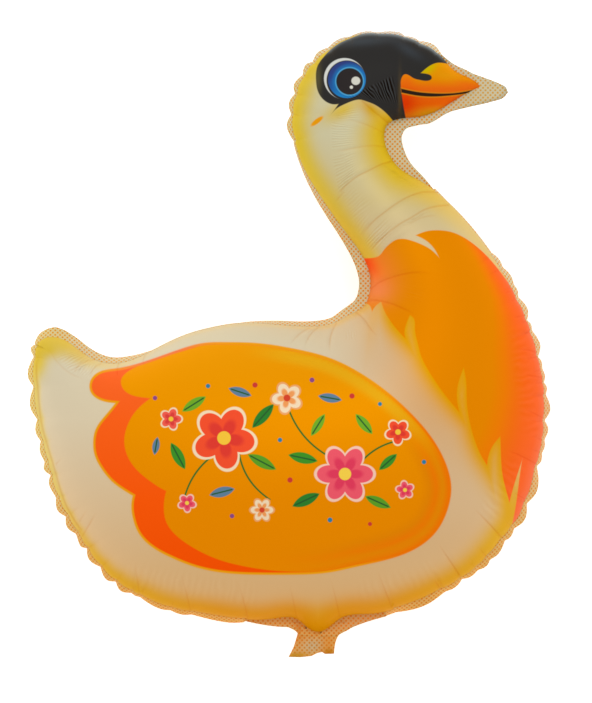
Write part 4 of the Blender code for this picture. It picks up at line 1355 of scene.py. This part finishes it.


# Ink and height with the creases, strength * exp(-(distance / half width)^2), and with fine
# wrinkles, a sine across each fan whose place and depth are varied by noise. The ink darkens
# along them as painted shade, and lightens on the wrinkles' crests as a painted highlight
def creased(put, ink):
    distance, strength = attributeParts(put, "crease")[:2]
    line = put("Math", distance, creaseLook["line"], operation="DIVIDE")
    line = put("Math", put("Math", line, line, operation="MULTIPLY"), -1.0, operation="MULTIPLY")
    line = put("Math", put("Math", line, operation="EXPONENT"), strength, operation="MULTIPLY")
    along, across, weight = attributeParts(put, "fan")
    stray = put("CombineXYZ", put("Math", along, creaseLook["strayAlong"], operation="MULTIPLY"),
                put("Math", across, creaseLook["strayAcross"], operation="MULTIPLY"), 0.0)
    stray = put("TexNoise", stray, 1.0, 1.0, noise_dimensions="2D")
    wave = put("Math", stray, creaseLook["stray"], across, operation="MULTIPLY_ADD")
    wave = put("Math", put("Math", wave, 2 * np.pi, operation="MULTIPLY"), operation="SINE")
    wave = put("Math", put("Math", wave, weight, operation="MULTIPLY"),
               put("MapRange", stray, *creaseLook["strayDepth"]), operation="MULTIPLY")
    # painted shade: the ink darkens along the creases and in the wrinkles' troughs
    dark = put("Math", line, creaseLook["dark"], operation="MULTIPLY")
    dark = put("Math", wave, creaseLook["waveShade"], dark, operation="MULTIPLY_ADD")
    tint = [put("Math", dark, -share, 1.0, operation="MULTIPLY_ADD")
            for share in creaseLook["tint"]]
    ink = put("VectorMath", ink, put("CombineXYZ", *tint), operation="MULTIPLY")
    # painted highlight: the ink lightens on the wrinkles' crests
    light = put("Math", wave, -creaseLook["waveHighlight"], operation="MULTIPLY")
    ink = put("VectorMath", ink, put("CombineXYZ", light, light, light), operation="ADD")
    height = put("Math", line, -creaseLook["deep"], operation="MULTIPLY")
    height = put("Math", wave, -creaseLook["waveDeep"], height, operation="MULTIPLY_ADD")
    return ink, height


borderPrint = {
    "pitch": 4.15,  # millimetres from dot to dot
    "dot": 1.25,  # a dot's radius, millimetres
    "softness": 0.25,  # half the width over which its edge fades
}


# Clear edge of the same film, welded, with rows of printed dots
def dottedFilm(name):
    material, shader, put = startMaterial(name, filmFinish)
    pitch = borderPrint["pitch"]
    cell = put("Mapping", put("Attribute", attribute_name="sheet", out=1), (0, 0, 0),
               (0, 0, np.radians(45)), (pitch, pitch, 1e6), vector_type="TEXTURE")
    cell = put("VectorMath", cell, operation="FRACTION")
    cell = put("VectorMath", cell, (0.5, 0.5, 0.0), operation="SUBTRACT")
    away = put("Math", put("VectorMath", cell, operation="LENGTH"), pitch, operation="MULTIPLY")
    edge, soft = borderPrint["dot"], borderPrint["softness"]
    dot = put("MapRange", away, edge - soft, edge + soft, 1.0, 0.0)
    ink = put("Mix", dot, put("Attribute", attribute_name="groundInk"),
              put("Attribute", attribute_name="dotInk"), data_type="RGBA")
    material.node_tree.links.new(ink, shader.inputs["Base Color"])
    return material


borderFilm = dottedFilm("dottedEdgeFilm")
for piece, film in ((foils[0], printedFilm("printedFilm", True)),
                    (foils[1], printedFilm("plainerPrintedFilm", False)),
                    (seamBorder, borderFilm), (tailPiece, borderFilm)):
    piece.data.materials.append(film)
    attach(piece, "root")
    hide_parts("balloon")
print("films printed")

# Pale matt floor, just under the balloon, an even pale room and one soft panel from above
stage = {
    "colour": "#FAFAFA", "size": 12.0, "below": 0.0004, "floorGlow": 0.55,
    "worldLight": 0.80,
    "panelPower": 58.0, "panelSize": 2.2, "panelPlace": (0.2, 2.2, 5.2), "panelAim": (0, 0, 0.1),
}
half = stage["size"] / 2
floorCorners = np.array([(-half, -half, -stage["below"]), (half, -half, -stage["below"]),
                         (half, half, -stage["below"]), (-half, half, -stage["below"])])
floor = makePiece("floor", floorCorners, [(0, 1, 2, 3)], {})
floor.data.materials.append(startMaterial("litAcrylic", {
    "Base Color": linearColour(stage["colour"]), "Roughness": 0.9,
    "Emission Color": (1, 1, 1, 1), "Emission Strength": stage["floorGlow"]})[0])

world = bpy.data.worlds.new("paleRoom")
bpy.context.scene.world = world
world.use_nodes = True
world.node_tree.nodes["Background"].inputs["Color"].default_value = (1, 1, 1, 1)
world.node_tree.nodes["Background"].inputs["Strength"].default_value = stage["worldLight"]

light = bpy.data.lights.new("topSoftbox", "AREA")
light.shape = "SQUARE"
light.size = stage["panelSize"]
light.energy = stage["panelPower"]
panel = bpy.data.objects.new("topSoftbox", light)
bpy.context.scene.collection.objects.link(panel)
panel.location = stage["panelPlace"]
aim = Vector(stage["panelAim"]) - Vector(stage["panelPlace"])
panel.rotation_euler = aim.to_track_quat("-Z", "Y").to_euler()

# The camera looks straight down, and the photo's height fits the drawing's at the seam plane
camera = bpy.data.objects.new("camera", bpy.data.cameras.new("camera"))
bpy.context.scene.collection.objects.link(camera)
camera.location = (*eyePlace, eyeHeight)
camera.data.sensor_width = 36
seenHeight = drawing["photoHeight"] * unit
camera.data.lens = camera.data.sensor_width * drawing["eyeDistance"] / seenHeight
bpy.context.scene.camera = camera
bpy.context.scene.view_settings.view_transform = "Standard"

bpy.context.view_layer.update()
